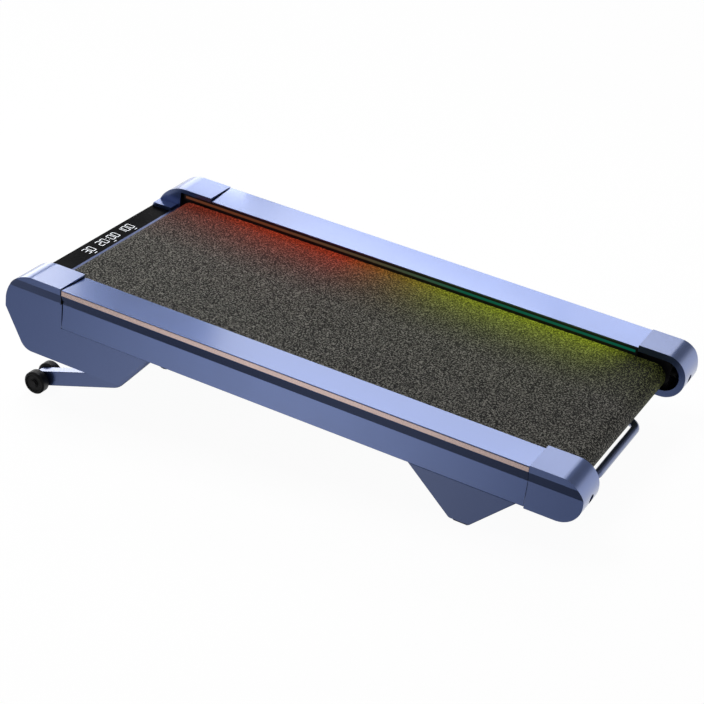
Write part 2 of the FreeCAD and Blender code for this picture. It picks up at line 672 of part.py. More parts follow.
def light_channel(name, side):
    y = span(side, INNER, f"{INNER} + channel_depth")
    lip = "stand_height - rail_fall - channel_lip"
    light_z = ("stand_height - light_drop - light_height", "stand_height - light_drop")
    light_x = ("light_end - channel_front", "rail_length - light_end")
    backs = [
        box("channel_back_" + name, ("0", "rail_length"), y, ("stand_height - rail_skirt", lip)),
        box("channel_front_" + name, ("-channel_front", "weld"), y, (f"{light_z[0]} - channel_depth", lip)),
    ]
    groove_y = span(side, f"{INNER} - past", f"{INNER} + light_depth")
    groove = box("channel_groove_" + name, light_x, groove_y, light_z)
    piece(cut("channel_" + name, fuse("channel_blank_" + name, backs), [groove]), "light_channel_" + name)
    bar = box("light_" + name, light_x, span(side, INNER, f"{INNER} + light_depth"), light_z)
    piece(group("light_bar_" + name, [bar]), "light_bar_" + name)


def front_profile(rear, rear_low):
    """Side outline of the nose, from the top rear corner round the front to the bottom."""
    return [(rear, CAP_TOP), ("-nose_reach", CAP_TOP), ("-nose_reach", "stand_height - nose_drop"),
            ("-chin_reach", "cover_clear"), (rear_low, "cover_clear")]


def front_side_cover(name, side):
    body = new_body("front_side_cover_" + name)
    outline = front_profile("-seam_gap", "cover_heel") + [("cover_tail", UNDER), ("-seam_gap", UNDER)]
    sketch = prism(body, "XZ", outline, span(side, INNER, HALF))
    round_corners(body, "XZ", sketch, {1: "nose_round", 3: "chin_round", 4: "heel_round"})
    whole = ("-nose_reach - past", "cover_tail + past")
    carve_side_band(body, side, whole)
    shape = body.Tip.Shape
    tail_faces = [face for number in (5, 6) for face in faces_on_side(shape, "XZ", sketch, number)]
    hollow(body, "cover_wall", tail_faces)
    within_rim = span(side, f"{INNER} - past", f"{SIDE} - cover_rim")
    prism(body, "YZ", rectangle(within_rim, ("cover_clear - past", "wheel_arch")), whole, cutting=True)
    belt_wall = span(side, f"{INNER} - past", f"{INNER} + cover_wall + past")
    low = "wheel_arch - past"
    beside_hood = rectangle(("-nose_reach + cover_wall", "-hood_back"),
                            (low, "stand_height - hood_side_drop"))
    beside_belt = rectangle(("-hood_back", "past"), (low, "stand_height - belt_side_drop"))
    prism(body, "XZ", beside_hood, belt_wall, cutting=True)
    prism(body, "XZ", beside_belt, belt_wall, cutting=True)
    skirt = rectangle(within_rim, ("cover_clear - past", f"{UNDER} + past"))
    prism(body, "YZ", skirt, ("0", "cover_tail + past"), cutting=True)
    seat = rectangle(("-seat_set - seat_reach", "-seat_set"), (FRAME_TOP, f"{CAP_TOP} - cover_wall / 2"))
    prism(body, "XZ", seat, span(side, FRAME_IN, FRAME_OUT))
    piece(body, "front_side_cover_" + name)


def rear_end_cap(name, side):
    body = new_body("rear_end_cap_" + name)
    front, rear = "(rail_length + cap_gap)", "(rail_length + cap_gap + cap_length)"
    low = f"({UNDER} - cap_drop)"
    across = span(side, f"{INNER} + cap_set", HALF)
    sketch = prism(body, "XZ", rectangle((front, rear), (low, CAP_TOP)), across)
    round_corners(body, "XZ", sketch, {1: "cap_round", 2: "cap_round"})
    carve_side_band(body, side, (front + " - past", rear + " + past"))
    hollow(body, "cover_wall", faces_on_side(body.Tip.Shape, "XZ", sketch, 3))
    inner_wall = span(side, f"{INNER} + cap_set - past", f"{INNER} + cap_set + cover_wall + past")
    middle = f"(({low} + {CAP_TOP}) / 2)"
    mouth_x = f"({rear} - cap_round)"
    mouth = rectangle((front + " - past", mouth_x), (f"{middle} - cap_mouth", f"{middle} + cap_mouth"))
    prism(body, "XZ", mouth, inner_wall, cutting=True)
    prism(body, "XZ", [(mouth_x, middle), "cap_mouth"], inner_wall, cutting=True)
    key_hole = [(f"{side} * {FRAME_MID}", AXLE_Z), "access_radius"]
    prism(body, "YZ", key_hole, (rear + " - access_radius", rear + " + past"), cutting=True)
    seat_x = (f"{front} + seat_set / 2", f"{front} + seat_reach")
    seat = rectangle(seat_x, (FRAME_TOP, f"{CAP_TOP} - cover_wall / 2"))
    prism(body, "XZ", seat, span(side, FRAME_IN, FRAME_OUT))
    piece(body, "rear_end_cap_" + name)


def rear_foot(name, side):
    body = new_body("rear_foot_" + name)
    sole = "pad_thick"
    outline = [("foot_front", UNDER), ("foot_toe", sole), ("foot_heel", sole), ("foot_tail", UNDER)]
    y = span(side, f"{SIDE} - foot_width", SIDE)
    sketch = prism(body, "XZ", outline, y)
    round_corners(body, "XZ", sketch, {1: "foot_round"})
    shape = body.Tip.Shape
    bounds = shape.BoundBox
    hollow(body, "cover_wall", faces_at(shape, "y", bounds.YMin if side == RIGHT else bounds.YMax))
    sole_x = "((foot_toe + foot_heel) / 2)"
    seat = rectangle((f"{sole_x} - foot_seat", f"{sole_x} + foot_seat"), (f"{UNDER} - weld", FRAME_UNDER))
    prism(body, "XZ", seat, span(side, f"{SIDE} - foot_width", FRAME_OUT))
    rib_x = (f"{sole_x} - foot_rib / 2", f"{sole_x} + foot_rib / 2")
    rib = rectangle(rib_x, (f"{sole} + weld", f"{UNDER} - weld"))
    prism(body, "XZ", rib, span(side, f"{SIDE} - foot_width", f"{SIDE} - weld"))
    piece(body, "rear_foot_" + name)


def foot_pads():
    pads = []
    for name, side in SIDES:
        x = ("foot_toe + foot_round / 2 + pad_inset", "foot_heel - pad_inset")
        y = span(side, f"{SIDE} - foot_width + pad_inset", f"{SIDE} - pad_inset")
        pads.append(box("pad_" + name, x, y, ("0", "pad_thick")))
    piece(group("pads", pads), "foot_pads")


def nose_at(level):
    """Where the nose's round stands at a level."""
    return f"nose_round - nose_reach - sqrt(nose_round ^ 2 - ({level} - {NOSE_Z}) ^ 2)"


def front_hood():
    body = new_body("front_hood")
    half = f"({INNER} - hood_gap)"
    sketch = prism(body, "XZ", front_profile("-hood_foot", "-hood_foot"), (f"-{half}", half))
    round_corners(body, "XZ", sketch, {1: "nose_round", 3: "chin_round"})
    reach = ("-nose_reach - past", "past")
    across = (f"-{half} - past", f"{half} + past")
    prism(body, "YZ", rectangle(across, (HOOD_TOP, f"{CAP_TOP} + past")), reach, cutting=True)
    step = rectangle(("-hood_back", "past"), ("hood_step", f"{CAP_TOP} + past"))
    prism(body, "XZ", step, across, cutting=True)
    for side in (LEFT, RIGHT):
        arch = rectangle(span(side, "hood_half", f"{half} + past"), ("cover_clear - past", "wheel_arch"))
        prism(body, "YZ", arch, reach, cutting=True)
    hollow(body, "cover_wall", faces_at(body.Tip.Shape, "x", -size("hood_foot")))
    sunk = f"({HOOD_TOP} - weld)"
    ledge = [("-trim_front", sunk), ("-trim_front", LEDGE_TOP), (nose_at(LEDGE_TOP), LEDGE_TOP),
             (nose_at(sunk), sunk)]
    lug_low = "stand_height - lug_drop"
    lug = rectangle(("-frame_front", "-hood_back"), (lug_low, f"{lug_low} + lug_height"))
    for side in (LEFT, RIGHT):
        prism(body, "XZ", ledge, span(side, "ledge_half", half))
        prism(body, "XZ", lug, span(side, f"{half} - cover_wall / 2", FRAME_IN))
    window = rectangle(("panel_left", "panel_right"), ("panel_low", "panel_high"))
    prism(body, "YZ", window, ("-nose_reach - past", "-chin_reach + past"), cutting=True)
    piece(body, "front_hood")


def display():
    glass_top = f"{HOOD_TOP} + glass_thick"
    half = "(ledge_half - glass_gap)"
    glass_x = (nose_at(glass_top), "-trim_front - glass_gap")
    glass = box("glass", glass_x, (f"-{half}", half), (HOOD_TOP, glass_top))
    piece(group("window", [glass]), "display_window")
    trim_half = f"({INNER} - hood_gap - glass_gap)"
    trim_x = ("-trim_front + glass_gap", "-trim_front + trim_width")
    trim_z = (HOOD_TOP, f"{HOOD_TOP} + trim_height")
    trim = box("trim", trim_x, (f"-{trim_half}", trim_half), trim_z)
    piece(group("trim_bar", [trim]), "hood_trim")
    top = f"({HOOD_TOP} - cover_wall)"
    digit_low = f"({top} - digit_height)"
    board_x = ("-trim_front - board_width - glass_gap", "-trim_front - glass_gap")
    board = box("board", board_x, ("-board_half", "board_half"), (f"{digit_low} - board_thick", digit_low))
    digit_x = ("-trim_front - board_width + digit_margin", "-trim_front - digit_margin")
    digits = []
    for number in (-1, 0, 1):
        middle = f"({number} * digit_pitch)"
        digit_y = (f"{middle} - digit_half", f"{middle} + digit_half")
        digits.append(box("digits", digit_x, digit_y, (digit_low, top)))
    piece(fuse("display_unit", [board] + digits), "display_board")


def frame_tube(name, side):
    x = ("-frame_front", FRAME_END)
    outer = box("tube_" + name, x, span(side, FRAME_IN, FRAME_OUT), (FRAME_UNDER, FRAME_TOP))
    bore = box("tube_bore_" + name, ("-frame_front - past", f"{FRAME_END} - tail_plate"),
               span(side, f"{FRAME_IN} + frame_wall", f"{FRAME_OUT} - frame_wall"),
               (f"{FRAME_UNDER} + frame_wall", f"{FRAME_TOP} - frame_wall"))
    inner_wall = span(side, f"{FRAME_IN} - past", f"{FRAME_IN} + frame_wall + past")
    hole_start = ("-front_axle_x", inner_wall[0], AXLE_Z)
    front_hole = rod("front_hole_" + name, "y", "axle_radius", hole_start, "frame_wall + 2 * past")
    slot = box("slot_" + name, (f"{REAR_X} - tension_slot / 2", f"{REAR_X} + tension_slot / 2"), inner_wall,
               (f"{AXLE_Z} - axle_radius", f"{AXLE_Z} + axle_radius"))
    bolt_hole = rod("bolt_hole_" + name, "x", BOLT_HOLE,
                    (f"{FRAME_END} - tail_plate - past", f"{side} * {FRAME_MID}", AXLE_Z),
                    "tail_plate + 2 * past")
    piece(cut("frame_tube_" + name, outer, [bore, front_hole, slot, bolt_hole]), "frame_tube_" + name)


def deck():
    members = []
    cushions = []
    for number in range(int(size("cross_count"))):
        front = f"(cross_first + {number} * cross_pitch)"
        middle = f"({front} + cross_width / 2)"
        members.append(box("cross", (front, f"{front} + cross_width"), (f"-{FRAME_IN}", FRAME_IN),
                           (f"{CROSS_TOP} - cross_height", CROSS_TOP)))
        for side in (LEFT, RIGHT):
            y = f"({side} * cushion_reach)"
            cushions.append(box("cushion", (f"{middle} - cushion_size / 2", f"{middle} + cushion_size / 2"),
                                (f"{y} - cushion_size / 2", f"{y} + cushion_size / 2"),
                                (CROSS_TOP, f"{CROSS_TOP} + cushion_height")))
    piece(group("cross_members", members), "deck_cross_members")
    piece(group("cushions", cushions), "deck_cushions")
    body = new_body("deck_board")
    x = ("-front_axle_x + roller_radius + deck_end_gap", f"{REAR_X} - roller_radius - deck_end_gap")
    sketch = prism(body, "XZ", rectangle(x, (f"{DECK_TOP} - deck_thick", DECK_TOP)),
                   ("-deck_board_width / 2", "deck_board_width / 2"))
    round_corners(body, "XZ", sketch, {2: "deck_thick / 2", 3: "deck_thick / 2"})
    piece(body, "deck_board")


def straps():
    def strap(name, front):
        x = (front, f"{front} + strap_width")
        return box(name, x, (f"-{FRAME_OUT}", FRAME_OUT), (STRAP_UNDER, FRAME_UNDER))

    belly = []
    for name, front in (("front", "front_strap_x"), ("rear", "rear_strap_x")):
        holes = [
            rod("strap_hole", "z", SCREW_HOLE, (x, y, f"{STRAP_UNDER} - past"), "strap_thick + 2 * past")
            for x, y in screw_places(front)
        ]
        belly.append(cut("belly_strap_" + name, strap("strap_" + name, front), holes))
    piece(group("straps", belly), "belly_straps")
    piece(group("strap_rear_end", [strap("strap_handle", "handle_strap_x")]), "handle_strap")


def screw_places(strap_front):
    """Where the pan's screws stand under one strap."""
    y = "(pan_half - pan_wall - pan_tab / 2)"
    return [(f"({strap_front} + strap_width / 2)", f"{side} * {y}") for side in (LEFT, RIGHT)]


def belly_pan():
    body = new_body("belly_pan")
    outline = [("-hood_foot", "cover_clear"), ("pan_end - pan_rake", "cover_clear"),
               ("pan_end", STRAP_UNDER), ("-hood_foot", STRAP_UNDER)]
    sketch = prism(body, "XZ", outline, ("-pan_half", "pan_half"))
    shape = body.Tip.Shape
    open_faces = [face for number in (2, 3) for face in faces_on_side(shape, "XZ", sketch, number)]
    hollow(body, "pan_wall", open_faces)
    brim = f"{STRAP_UNDER} + past"
    play = "(lift_boss + notch_clear)"
    notch = rectangle((f"pivot_x - {play}", f"pivot_x + {play}"), (f"pivot_z - {play}", brim))
    prism(body, "XZ", notch, ("-pan_half - past", "pan_half + past"), cutting=True)
    shaft_x = ("motor_x - motor_pulley", "motor_x + motor_pulley")
    shaft_notch = rectangle(shaft_x, ("motor_z - motor_pulley", brim))
    prism(body, "XZ", shaft_notch, ("pan_half - pan_wall - past", "pan_half + past"), cutting=True)
    low = f"({STRAP_UNDER} - pan_wall)"
    for front in ("front_strap_x", "rear_strap_x"):
        tab = rectangle((front, f"{front} + strap_width"), (low, STRAP_UNDER))
        for side in (LEFT, RIGHT):
            prism(body, "XZ", tab, span(side, "pan_half - pan_wall - pan_tab", "pan_half - weld"))
        for place in screw_places(front):
            prism(body, "XY", [place, SCREW_HOLE], (f"{low} - past", brim), cutting=True)
    piece(body, "belly_pan")
    screws = []
    for front in ("front_strap_x", "rear_strap_x"):
        for x, y in screw_places(front):
            shank = rod("screw_shank", "z", "screw_radius", (x, y, low), "pan_wall + strap_thick")
            head = rod("screw_head", "z", "screw_head", (x, y, f"{low} - screw_radius"), "screw_radius")
            screws.append(fuse("screw", [shank, head]))
    piece(group("screws", screws), "pan_screws")


def belt_loop(label, first, second, thick, y):
    """An endless belt round two rollers, each (x, z, radius), and a hair clear of them."""
    body = new_body(label)
    for extra, cutting in ((f"belt_gap + {thick}", False), ("belt_gap", True)):
        discs = [(x, z, f"({radius} + {extra})") for x, z, radius in (first, second)]
        hull(body, *discs, y, cutting)
    piece(body, label)


def belts():
    front = ("(-front_axle_x)", AXLE_Z)
    rear = (REAR_X, AXLE_Z, "roller_radius")
    belt_y = ("-belt_width / 2", "belt_width / 2")
    belt_loop("running_belt", (*front, "roller_radius"), rear, "belt_thick", belt_y)
    motor = ("motor_x", "motor_z", "motor_pulley")
    drive_y = (f"{DRIVE_MID} - drive_width / 2", f"{DRIVE_MID} + drive_width / 2")
    belt_loop("drive_belt", (*front, "roller_pulley"), motor, "drive_thick", drive_y)


def roller(name, x):
    half = "(roller_length / 2)"
    tube = rod(name + "_outside", "y", "roller_radius", (x, f"-{half}", AXLE_Z), "roller_length")
    bore = rod(name + "_bore", "y", "roller_bore", (x, f"-{half} - past", AXLE_Z),
               "roller_length + 2 * past")
    piece(cut(name + "_tube", tube, [bore]), name + "_roller")
    rings = []
    for side in (LEFT, RIGHT):
        y = span(side, f"{half} - bearing_inset - bearing_width", f"{half} - bearing_inset")
        ring = rod("bearing_outside", "y", "roller_bore", (x, y[0], AXLE_Z), "bearing_width")
        hole = rod("bearing_bore", "y", "axle_radius + running_fit", (x, f"{y[0]} - past", AXLE_Z),
                   "bearing_width + 2 * past")
        rings.append(cut("bearing", ring, [hole]))
    piece(group(name + "_bearings", rings), name + "_roller_bearings")


def axles():
    front, rear = [
        rod("axle_bar", "y", "axle_radius", (x, "-axle_length / 2", AXLE_Z), "axle_length")
        for x in ("-front_axle_x", REAR_X)
    ]
    piece(group("front_axle_bar", [front]), "front_axle")
    hole_x = f"{REAR_X} - axle_radius - past"
    holes = [
        rod("cross_hole", "x", BOLT_HOLE, (hole_x, f"{side} * {FRAME_MID}", AXLE_Z),
            "2 * (axle_radius + past)")
        for side in (LEFT, RIGHT)
    ]
    piece(cut("rear_axle_bar", rear, holes), "rear_axle")
    bolts = []
    for side in (LEFT, RIGHT):
        y = f"{side} * {FRAME_MID}"
        shank = rod("bolt_shank", "x", "bolt_radius", (f"{REAR_X} - axle_radius - bolt_reach", y, AXLE_Z),
                    f"{FRAME_END} - {REAR_X} + axle_radius + bolt_reach")
        head = rod("bolt_head", "x", "bolt_head", (FRAME_END, y, AXLE_Z), "2 * bolt_radius")
        socket_start = (f"{FRAME_END} + bolt_radius", y, AXLE_Z)
        socket = rod("bolt_socket", "x", "bolt_socket", socket_start, "bolt_radius + past")
        bolts.append(cut("tension_bolt", fuse("bolt_blank", [shank, head]), [socket]))
    piece(group("bolts", bolts), "tension_bolts")


def pulley(label, centre, radius, bore):
    """A ribbed-belt pulley: rims at both ends and three vee grooves between them."""
    body = new_body(label)
    near, far = PULLEY_NEAR, f"({PULLEY_NEAR} + pulley_width)"
    rim = f"{radius} + pulley_groove"
    rim_in = f"{near} + pulley_groove"
    rim_out = f"{far} - pulley_groove"
    points = [(bore, near), (rim, near), (rim, rim_in), (radius, rim_in)]
    step = "(drive_width / 3)"
    for number in range(3):
        start = f"{DRIVE_MID} - drive_width / 2 + {number} * {step}"
        points += [(radius, f"{start} + hair"), (f"{radius} - pulley_groove", f"{start} + {step} / 2")]
    points += [(radius, rim_out), (rim, rim_out), (rim, far), (bore, far)]
    spin(body, centre, points)
    piece(body, label)


def drive():
    def turned(name, radius, start, length):
        return rod(name, "y", radius, ("motor_x", start, "motor_z"), length)

    casing = [
        turned("casing", "motor_radius", "motor_near + motor_bell", "motor_length - 2 * motor_bell"),
        turned("bell_left", "bell_radius", "motor_near", "motor_bell"),
        turned("bell_right", "bell_radius", "motor_far - motor_bell", "motor_bell"),
    ]
    bore_start = "(motor_near + 2 * motor_bell)"
    bore = turned("motor_bore", "shaft_radius + running_fit", bore_start, "motor_length")
    piece(cut("motor", fuse("motor_blank", casing), [bore]), "drive_motor")
    shaft_start = f"({bore_start} + bearing_inset)"
    shaft = turned("shaft", "shaft_radius", shaft_start, f"{PULLEY_NEAR} + pulley_width - {shaft_start}")
    piece(group("shaft_bar", [shaft]), "motor_shaft")
    pulley("motor_pulley", ("motor_x", "motor_z"), "motor_pulley", "shaft_radius")
    pulley("roller_pulley", ("-front_axle_x", AXLE_Z), "roller_pulley", "axle_radius + running_fit")
    block_x = ("motor_x - mount_half", "motor_x + mount_half")
    block_y = (bore_start, "motor_far - 2 * motor_bell")
    block = box("mount_block", block_x, block_y, (PAN_FLOOR, "motor_z - motor_radius / 2"))
    seat = turned("mount_seat", "motor_radius", "motor_near", "motor_length")
    piece(cut("mount", block, [seat]), "motor_mount")


def control_box():
    near = "(-control_near - control_width)"
    lid = f"({PAN_FLOOR} + control_height)"
    case = box("control_case", ("control_x", "control_x + control_length"), (near, "-control_near"),
               (PAN_FLOOR, lid))
    fin_x = ("control_x + fin_set", "control_x + control_length - fin_set")
    fins = []
    for number in range(int(size("fin_count"))):
        low = f"({near} + fin_set + {number} * fin_pitch)"
        fins.append(box("fin", fin_x, (low, f"{low} + fin_thick"), (lid, f"{lid} + fin_height")))
    piece(fuse("control", [case] + fins), "control_box")


def lift_arm(name, side):
    body = new_body("lift_arm_" + name)
    y = span(side, "arm_inner", ARM_OUTER)
    # The bar lies along the line from the wheel axle to the knee, half its depth below the upper edge.
    rise = "((wheel_z + arm_depth / 2 - weld - arm_knee_z) / (wheel_x + arm_knee_x))"
    tip_low = f"(-arm_knee_z - {rise} * (wheel_x + arm_tip + arm_knee_x))"
    upright = f"(arm_depth * sqrt(1 + {rise} ^ 2))"
    neck_low = "(pivot_z - lift_boss - weld)"
    neck_rise = f"(({neck_low} + arm_knee_z) / (arm_neck_x - arm_knee_x))"
    back_x, back_z = "(arm_neck_x - arm_neck_back)", "(pivot_z - lift_boss)"
    # Where the neck's front edge meets the bar's upper edge.
    meet_x = (f"((-arm_knee_z + {upright} - {rise} * arm_knee_x - {back_z} + {neck_rise} * {back_x})"
              f" / ({neck_rise} - {rise}))")
    tip_x = "-wheel_x - arm_tip"
    outline = [
        (tip_x, tip_low), ("arm_knee_x", "-arm_knee_z"), ("arm_neck_x", neck_low),
        ("pivot_x", "pivot_z - lift_boss"), ("pivot_x", "pivot_z + lift_boss"), (back_x, back_z),
        (meet_x, f"{back_z} - {neck_rise} * ({back_x} - {meet_x})"), (tip_x, f"{tip_low} + {upright}"),
    ]
    sketch = prism(body, "XZ", outline, y)
    round_corners(body, "XZ", sketch, {0: "arm_round", 7: "arm_round", 1: "arm_knee_round"})
    prism(body, "XZ", [PIVOT, "lift_boss"], y)
    beyond = (f"{y[0]} - past", f"{y[1]} + past")
    prism(body, "XZ", [PIVOT, "lift_tube"], beyond, cutting=True)
    prism(body, "XZ", [("-wheel_x", "-wheel_z"), "pin_wheel"], beyond, cutting=True)
    piece(body, "lift_arm_" + name)


def lift_bracket(name, side):
    body = new_body("lift_bracket_" + name)
    y = span(side, f"{ARM_OUTER} + bracket_gap", f"{ARM_OUTER} + bracket_gap + bracket_thick")
    plate = rectangle(("pivot_x - lift_boss", "pivot_x + lift_boss"), ("pivot_z", FRAME_UNDER))
    prism(body, "XZ", plate, y)
    prism(body, "XZ", [PIVOT, "lift_boss"], y)
    beyond = (f"{y[0]} - past", f"{y[1]} + past")
    prism(body, "XZ", [PIVOT, "lift_tube + running_fit"], beyond, cutting=True)
    piece(body, "lift_bracket_" + name)


def lift_frame():
    half = f"({ARM_OUTER} + bracket_gap + bracket_thick)"
    tube = rod("lift_bar", "y", "lift_tube", ("pivot_x", f"-{half}", "pivot_z"), f"2 * {half}")
    piece(group("lift_cross_tube", [tube]), "lift_tube")
    body = new_body("lift_crank")
    discs = ((*PIVOT, "crank_boss"), (PIN_X, PIN_Z, "crank_eye"))
    hull(body, *discs, span(LEFT, "crank_gap", "crank_gap + crank_thick"))
    prism(body, "XZ", [(PIN_X, PIN_Z), "pin_radius"], ("-crank_gap - weld", "crank_gap + weld"))
    hull(body, *discs[::-1], span(RIGHT, "crank_gap", "crank_gap + crank_thick"))
    crank_half = "(crank_gap + crank_thick + past)"
    prism(body, "XZ", [PIVOT, "lift_tube"], (f"-{crank_half}", crank_half), cutting=True)
    piece(body, "lift_crank")


def lift_actuator():
    eye_x = (f"{PIN_X} - crank_eye - eye_nose", f"{PIN_X} + crank_eye + eye_heel")
    eye_z = (f"{ROD_Z} - crank_eye", f"{ROD_Z} + crank_eye")
    eye = box("eye_block", eye_x, ("-eye_half", "eye_half"), eye_z)
    slot_x = (f"{PIN_X} - pin_radius - eye_play", f"{PIN_X} + pin_radius + eye_play")
    slot_z = (f"{ROD_Z} - pin_radius - eye_lift", f"{ROD_Z} + pin_radius + eye_lift")
    slot = box("eye_slot", slot_x, ("-eye_half - past", "eye_half + past"), slot_z)
    rod_start = f"({eye_x[1]} - weld)"
    bar = rod("rod_bar", "x", "rod_radius", (rod_start, "0", ROD_Z), f"rod_end - {rod_start}")
    piece(cut("rod_with_eye", fuse("rod_blank", [eye, bar]), [slot]), "lift_rod")
    rear = "(gearbox_x + gearbox_length)"
    gearbox_z = (PAN_FLOOR, f"{PAN_FLOOR} + gearbox_height")
    gearbox = box("gearbox", ("gearbox_x", rear), ("-gearbox_half", "gearbox_half"), gearbox_z)
    motor_start = (f"{rear} - weld", "0", f"{PAN_FLOOR} + gearbox_height / 2")
    motor = rod("lift_motor_can", "x", "lift_motor", motor_start, "lift_motor_length + weld")
    bore_start = ("gearbox_x - past", "0", ROD_Z)
    bore = rod("rod_bore", "x", "rod_radius + running_fit", bore_start, "rod_end - gearbox_x + 2 * past")
    piece(cut("actuator", fuse("actuator_blank", [gearbox, motor]), [bore]), "lift_actuator")


def wheel(label, side, near):
    """A rolled tyre on a dished hub, between near and near plus its width."""
    body = new_body(label)
    low, high = span(side, near, f"({near} + wheel_width)")
    bore = "pin_wheel + running_fit"
    outer = "wheel_radius"
    shoulder = "wheel_radius - wheel_round"
    lip = "hub_ring + wheel_dish / 2"
    floor_low = f"{low} + wheel_dish"
    floor_high = f"{high} - wheel_dish"
    points = [
        (bore, low), ("hub_boss", low), ("hub_boss", floor_low), ("hub_ring", floor_low),
        (lip, low), (shoulder, low), (outer, f"{low} + wheel_round"),
        (outer, f"{high} - wheel_round"), (shoulder, high), (lip, high),
        ("hub_ring", floor_high), ("hub_boss", floor_high), ("hub_boss", high), (bore, high),
    ]
    spin(body, ("-wheel_x", "-wheel_z"), points)
    piece(body, label)


def wheels():
    pins = []
    outer, inner = f"({ARM_OUTER} + wheel_gap)", "(arm_inner - wheel_gap - wheel_width)"
    for name, side in SIDES:
        wheel(f"lift_wheel_{name}_outer", side, outer)
        wheel(f"lift_wheel_{name}_inner", side, inner)
        low, high = span(side, f"{inner} - wheel_gap", f"{outer} + wheel_width + wheel_gap")
        shank = rod("wheel_pin", "y", "pin_wheel", ("-wheel_x", low, "-wheel_z"), less(high, low))
        heads = [rod("pin_head", "y", "pin_head", ("-wheel_x", place, "-wheel_z"), "pin_head_thick")
                 for place in (f"{low} - pin_head_thick", high)]
        pins.append(fuse("wheel_axle_" + name, [shank] + heads))
    piece(group("wheel_pins", pins), "wheel_axles")


def rear_handle():
    bend_x = "(handle_x - handle_bend)"
    bend_y = "(handle_half - handle_bend)"
    solids = [rod("grip", "y", "handle_tube", ("handle_x", f"-{bend_y}", "handle_z"), f"2 * {bend_y}")]
    for side, start_angle in ((RIGHT, 0), (LEFT, -90)):
        leg_start = ("handle_strap_x", f"{side} * handle_half", "handle_z")
        solids.append(rod("leg", "x", "handle_tube", leg_start, f"{bend_x} - handle_strap_x"))
        bend = doc.addObject("Part::Torus", "bend")
        bind(bend, {"Radius1": "handle_bend", "Radius2": "handle_tube"})
        bend.Angle3 = 90
        bend.Placement = Placement(Vector(), Rotation(Vector(0, 0, 1), start_angle))
        solids.append(at(bend, bend_x, f"{side} * {bend_y}", "handle_z"))
    piece(fuse("handle", solids), "rear_handle")
    clamp_x = ("handle_strap_x + clamp_set", "handle_strap_x + strap_width - clamp_set")
    clamp_z = ("handle_z - handle_tube - clamp_thick", STRAP_UNDER)
    clamps = []
    for side in (LEFT, RIGHT):
        y = f"({side} * handle_half)"
        block = box("clamp_block", clamp_x, (f"{y} - clamp_half", f"{y} + clamp_half"), clamp_z)
        hole = rod("clamp_hole", "x", "handle_tube", ("handle_strap_x", y, "handle_z"), "strap_width")
        clamps.append(cut("clamp", block, [hole]))
    piece(group("clamps", clamps), "handle_clamps")


def panel_hole(y, width, height, room):
    """A rectangle at the panel's mid height, larger all round by some room."""
    return rectangle((f"{y} - {width} / 2 - {room}", f"{y} + {width} / 2 + {room}"),
                     (f"{PANEL_Z} - {height} / 2 - {room}", f"{PANEL_Z} + {height} / 2 + {room}"))


def mains_panel():
    y = ("panel_left + panel_fit", "panel_right - panel_fit")
    z = ("panel_low", "panel_high - 2 * panel_fit")
    body = new_body("mains_panel")
    # A tub whose mouth follows the sloping chin and whose back wall stands upright.
    slope = "((nose_reach - chin_reach) / (stand_height - nose_drop - cover_clear))"
    mouth = [f"(-chin_reach - {slope} * ({level} - cover_clear))" for level in z]
    back = "-panel_back + panel_wall"
    prism(body, "XZ", [(mouth[0], z[0]), (back, z[0]), (back, z[1]), (mouth[1], z[1])], y)
    inside = rectangle(("-nose_reach", "-panel_back"), (f"{z[0]} + panel_wall", f"{z[1]} - panel_wall"))
    prism(body, "XZ", inside, (f"{y[0]} + panel_wall", f"{y[1]} - panel_wall"), cutting=True)
    shell_x = ("-panel_back", "-panel_back + inlet_depth + inlet_wall")
    prism(body, "YZ", panel_hole("inlet_y", "inlet_width", "inlet_height", "inlet_wall"), shell_x)
    socket_x = ("-panel_back - past", "-panel_back + inlet_depth")
    prism(body, "YZ", panel_hole("inlet_y", "inlet_width", "inlet_height", "0"), socket_x, cutting=True)
    rocker = ("switch_y", "rocker_width", "rocker_height")
    frame_x = (ROCKER_FACE, "-panel_back + switch_depth")
    prism(body, "YZ", panel_hole(*rocker, "(rocker_play + inlet_wall)"), frame_x)
    hole_x = (f"{ROCKER_FACE} - past", "-panel_back + switch_depth - inlet_wall")
    prism(body, "YZ", panel_hole(*rocker, "rocker_play"), hole_x, cutting=True)
    half = "(rocker_width / 2 + rocker_play + pivot_seat)"
    pivot_seat = [ROCKER_PIVOT, "rocker_pin + running_fit"]
    prism(body, "XZ", pivot_seat, (f"switch_y - {half}", f"switch_y + {half}"), cutting=True)
    piece(body, "mains_panel")


def switch_rocker():
    """The rocker as it stands when off, its lower end out."""
    body = new_body("switch_rocker")
    lean = "(rocker_height / 2 * tan(rocker_tilt))"
    back = f"{ROCKER_FACE} + rocker_thick"
    outline = [
        (back, f"{PANEL_Z} - rocker_height / 4"), (back, f"{PANEL_Z} + rocker_height / 4"),
        (f"{ROCKER_FACE} + {lean}", f"{PANEL_Z} + rocker_height / 2"), (ROCKER_FACE, PANEL_Z),
        (f"{ROCKER_FACE} - {lean}", f"{PANEL_Z} - rocker_height / 2"),
    ]
    prism(body, "XZ", outline, ("switch_y - rocker_width / 2", "switch_y + rocker_width / 2"))
    half = "(rocker_width / 2 + rocker_play + pivot_reach)"
    prism(body, "XZ", [ROCKER_PIVOT, "rocker_pin"], (f"switch_y - {half}", f"switch_y + {half}"))
    piece(body, "switch_rocker")


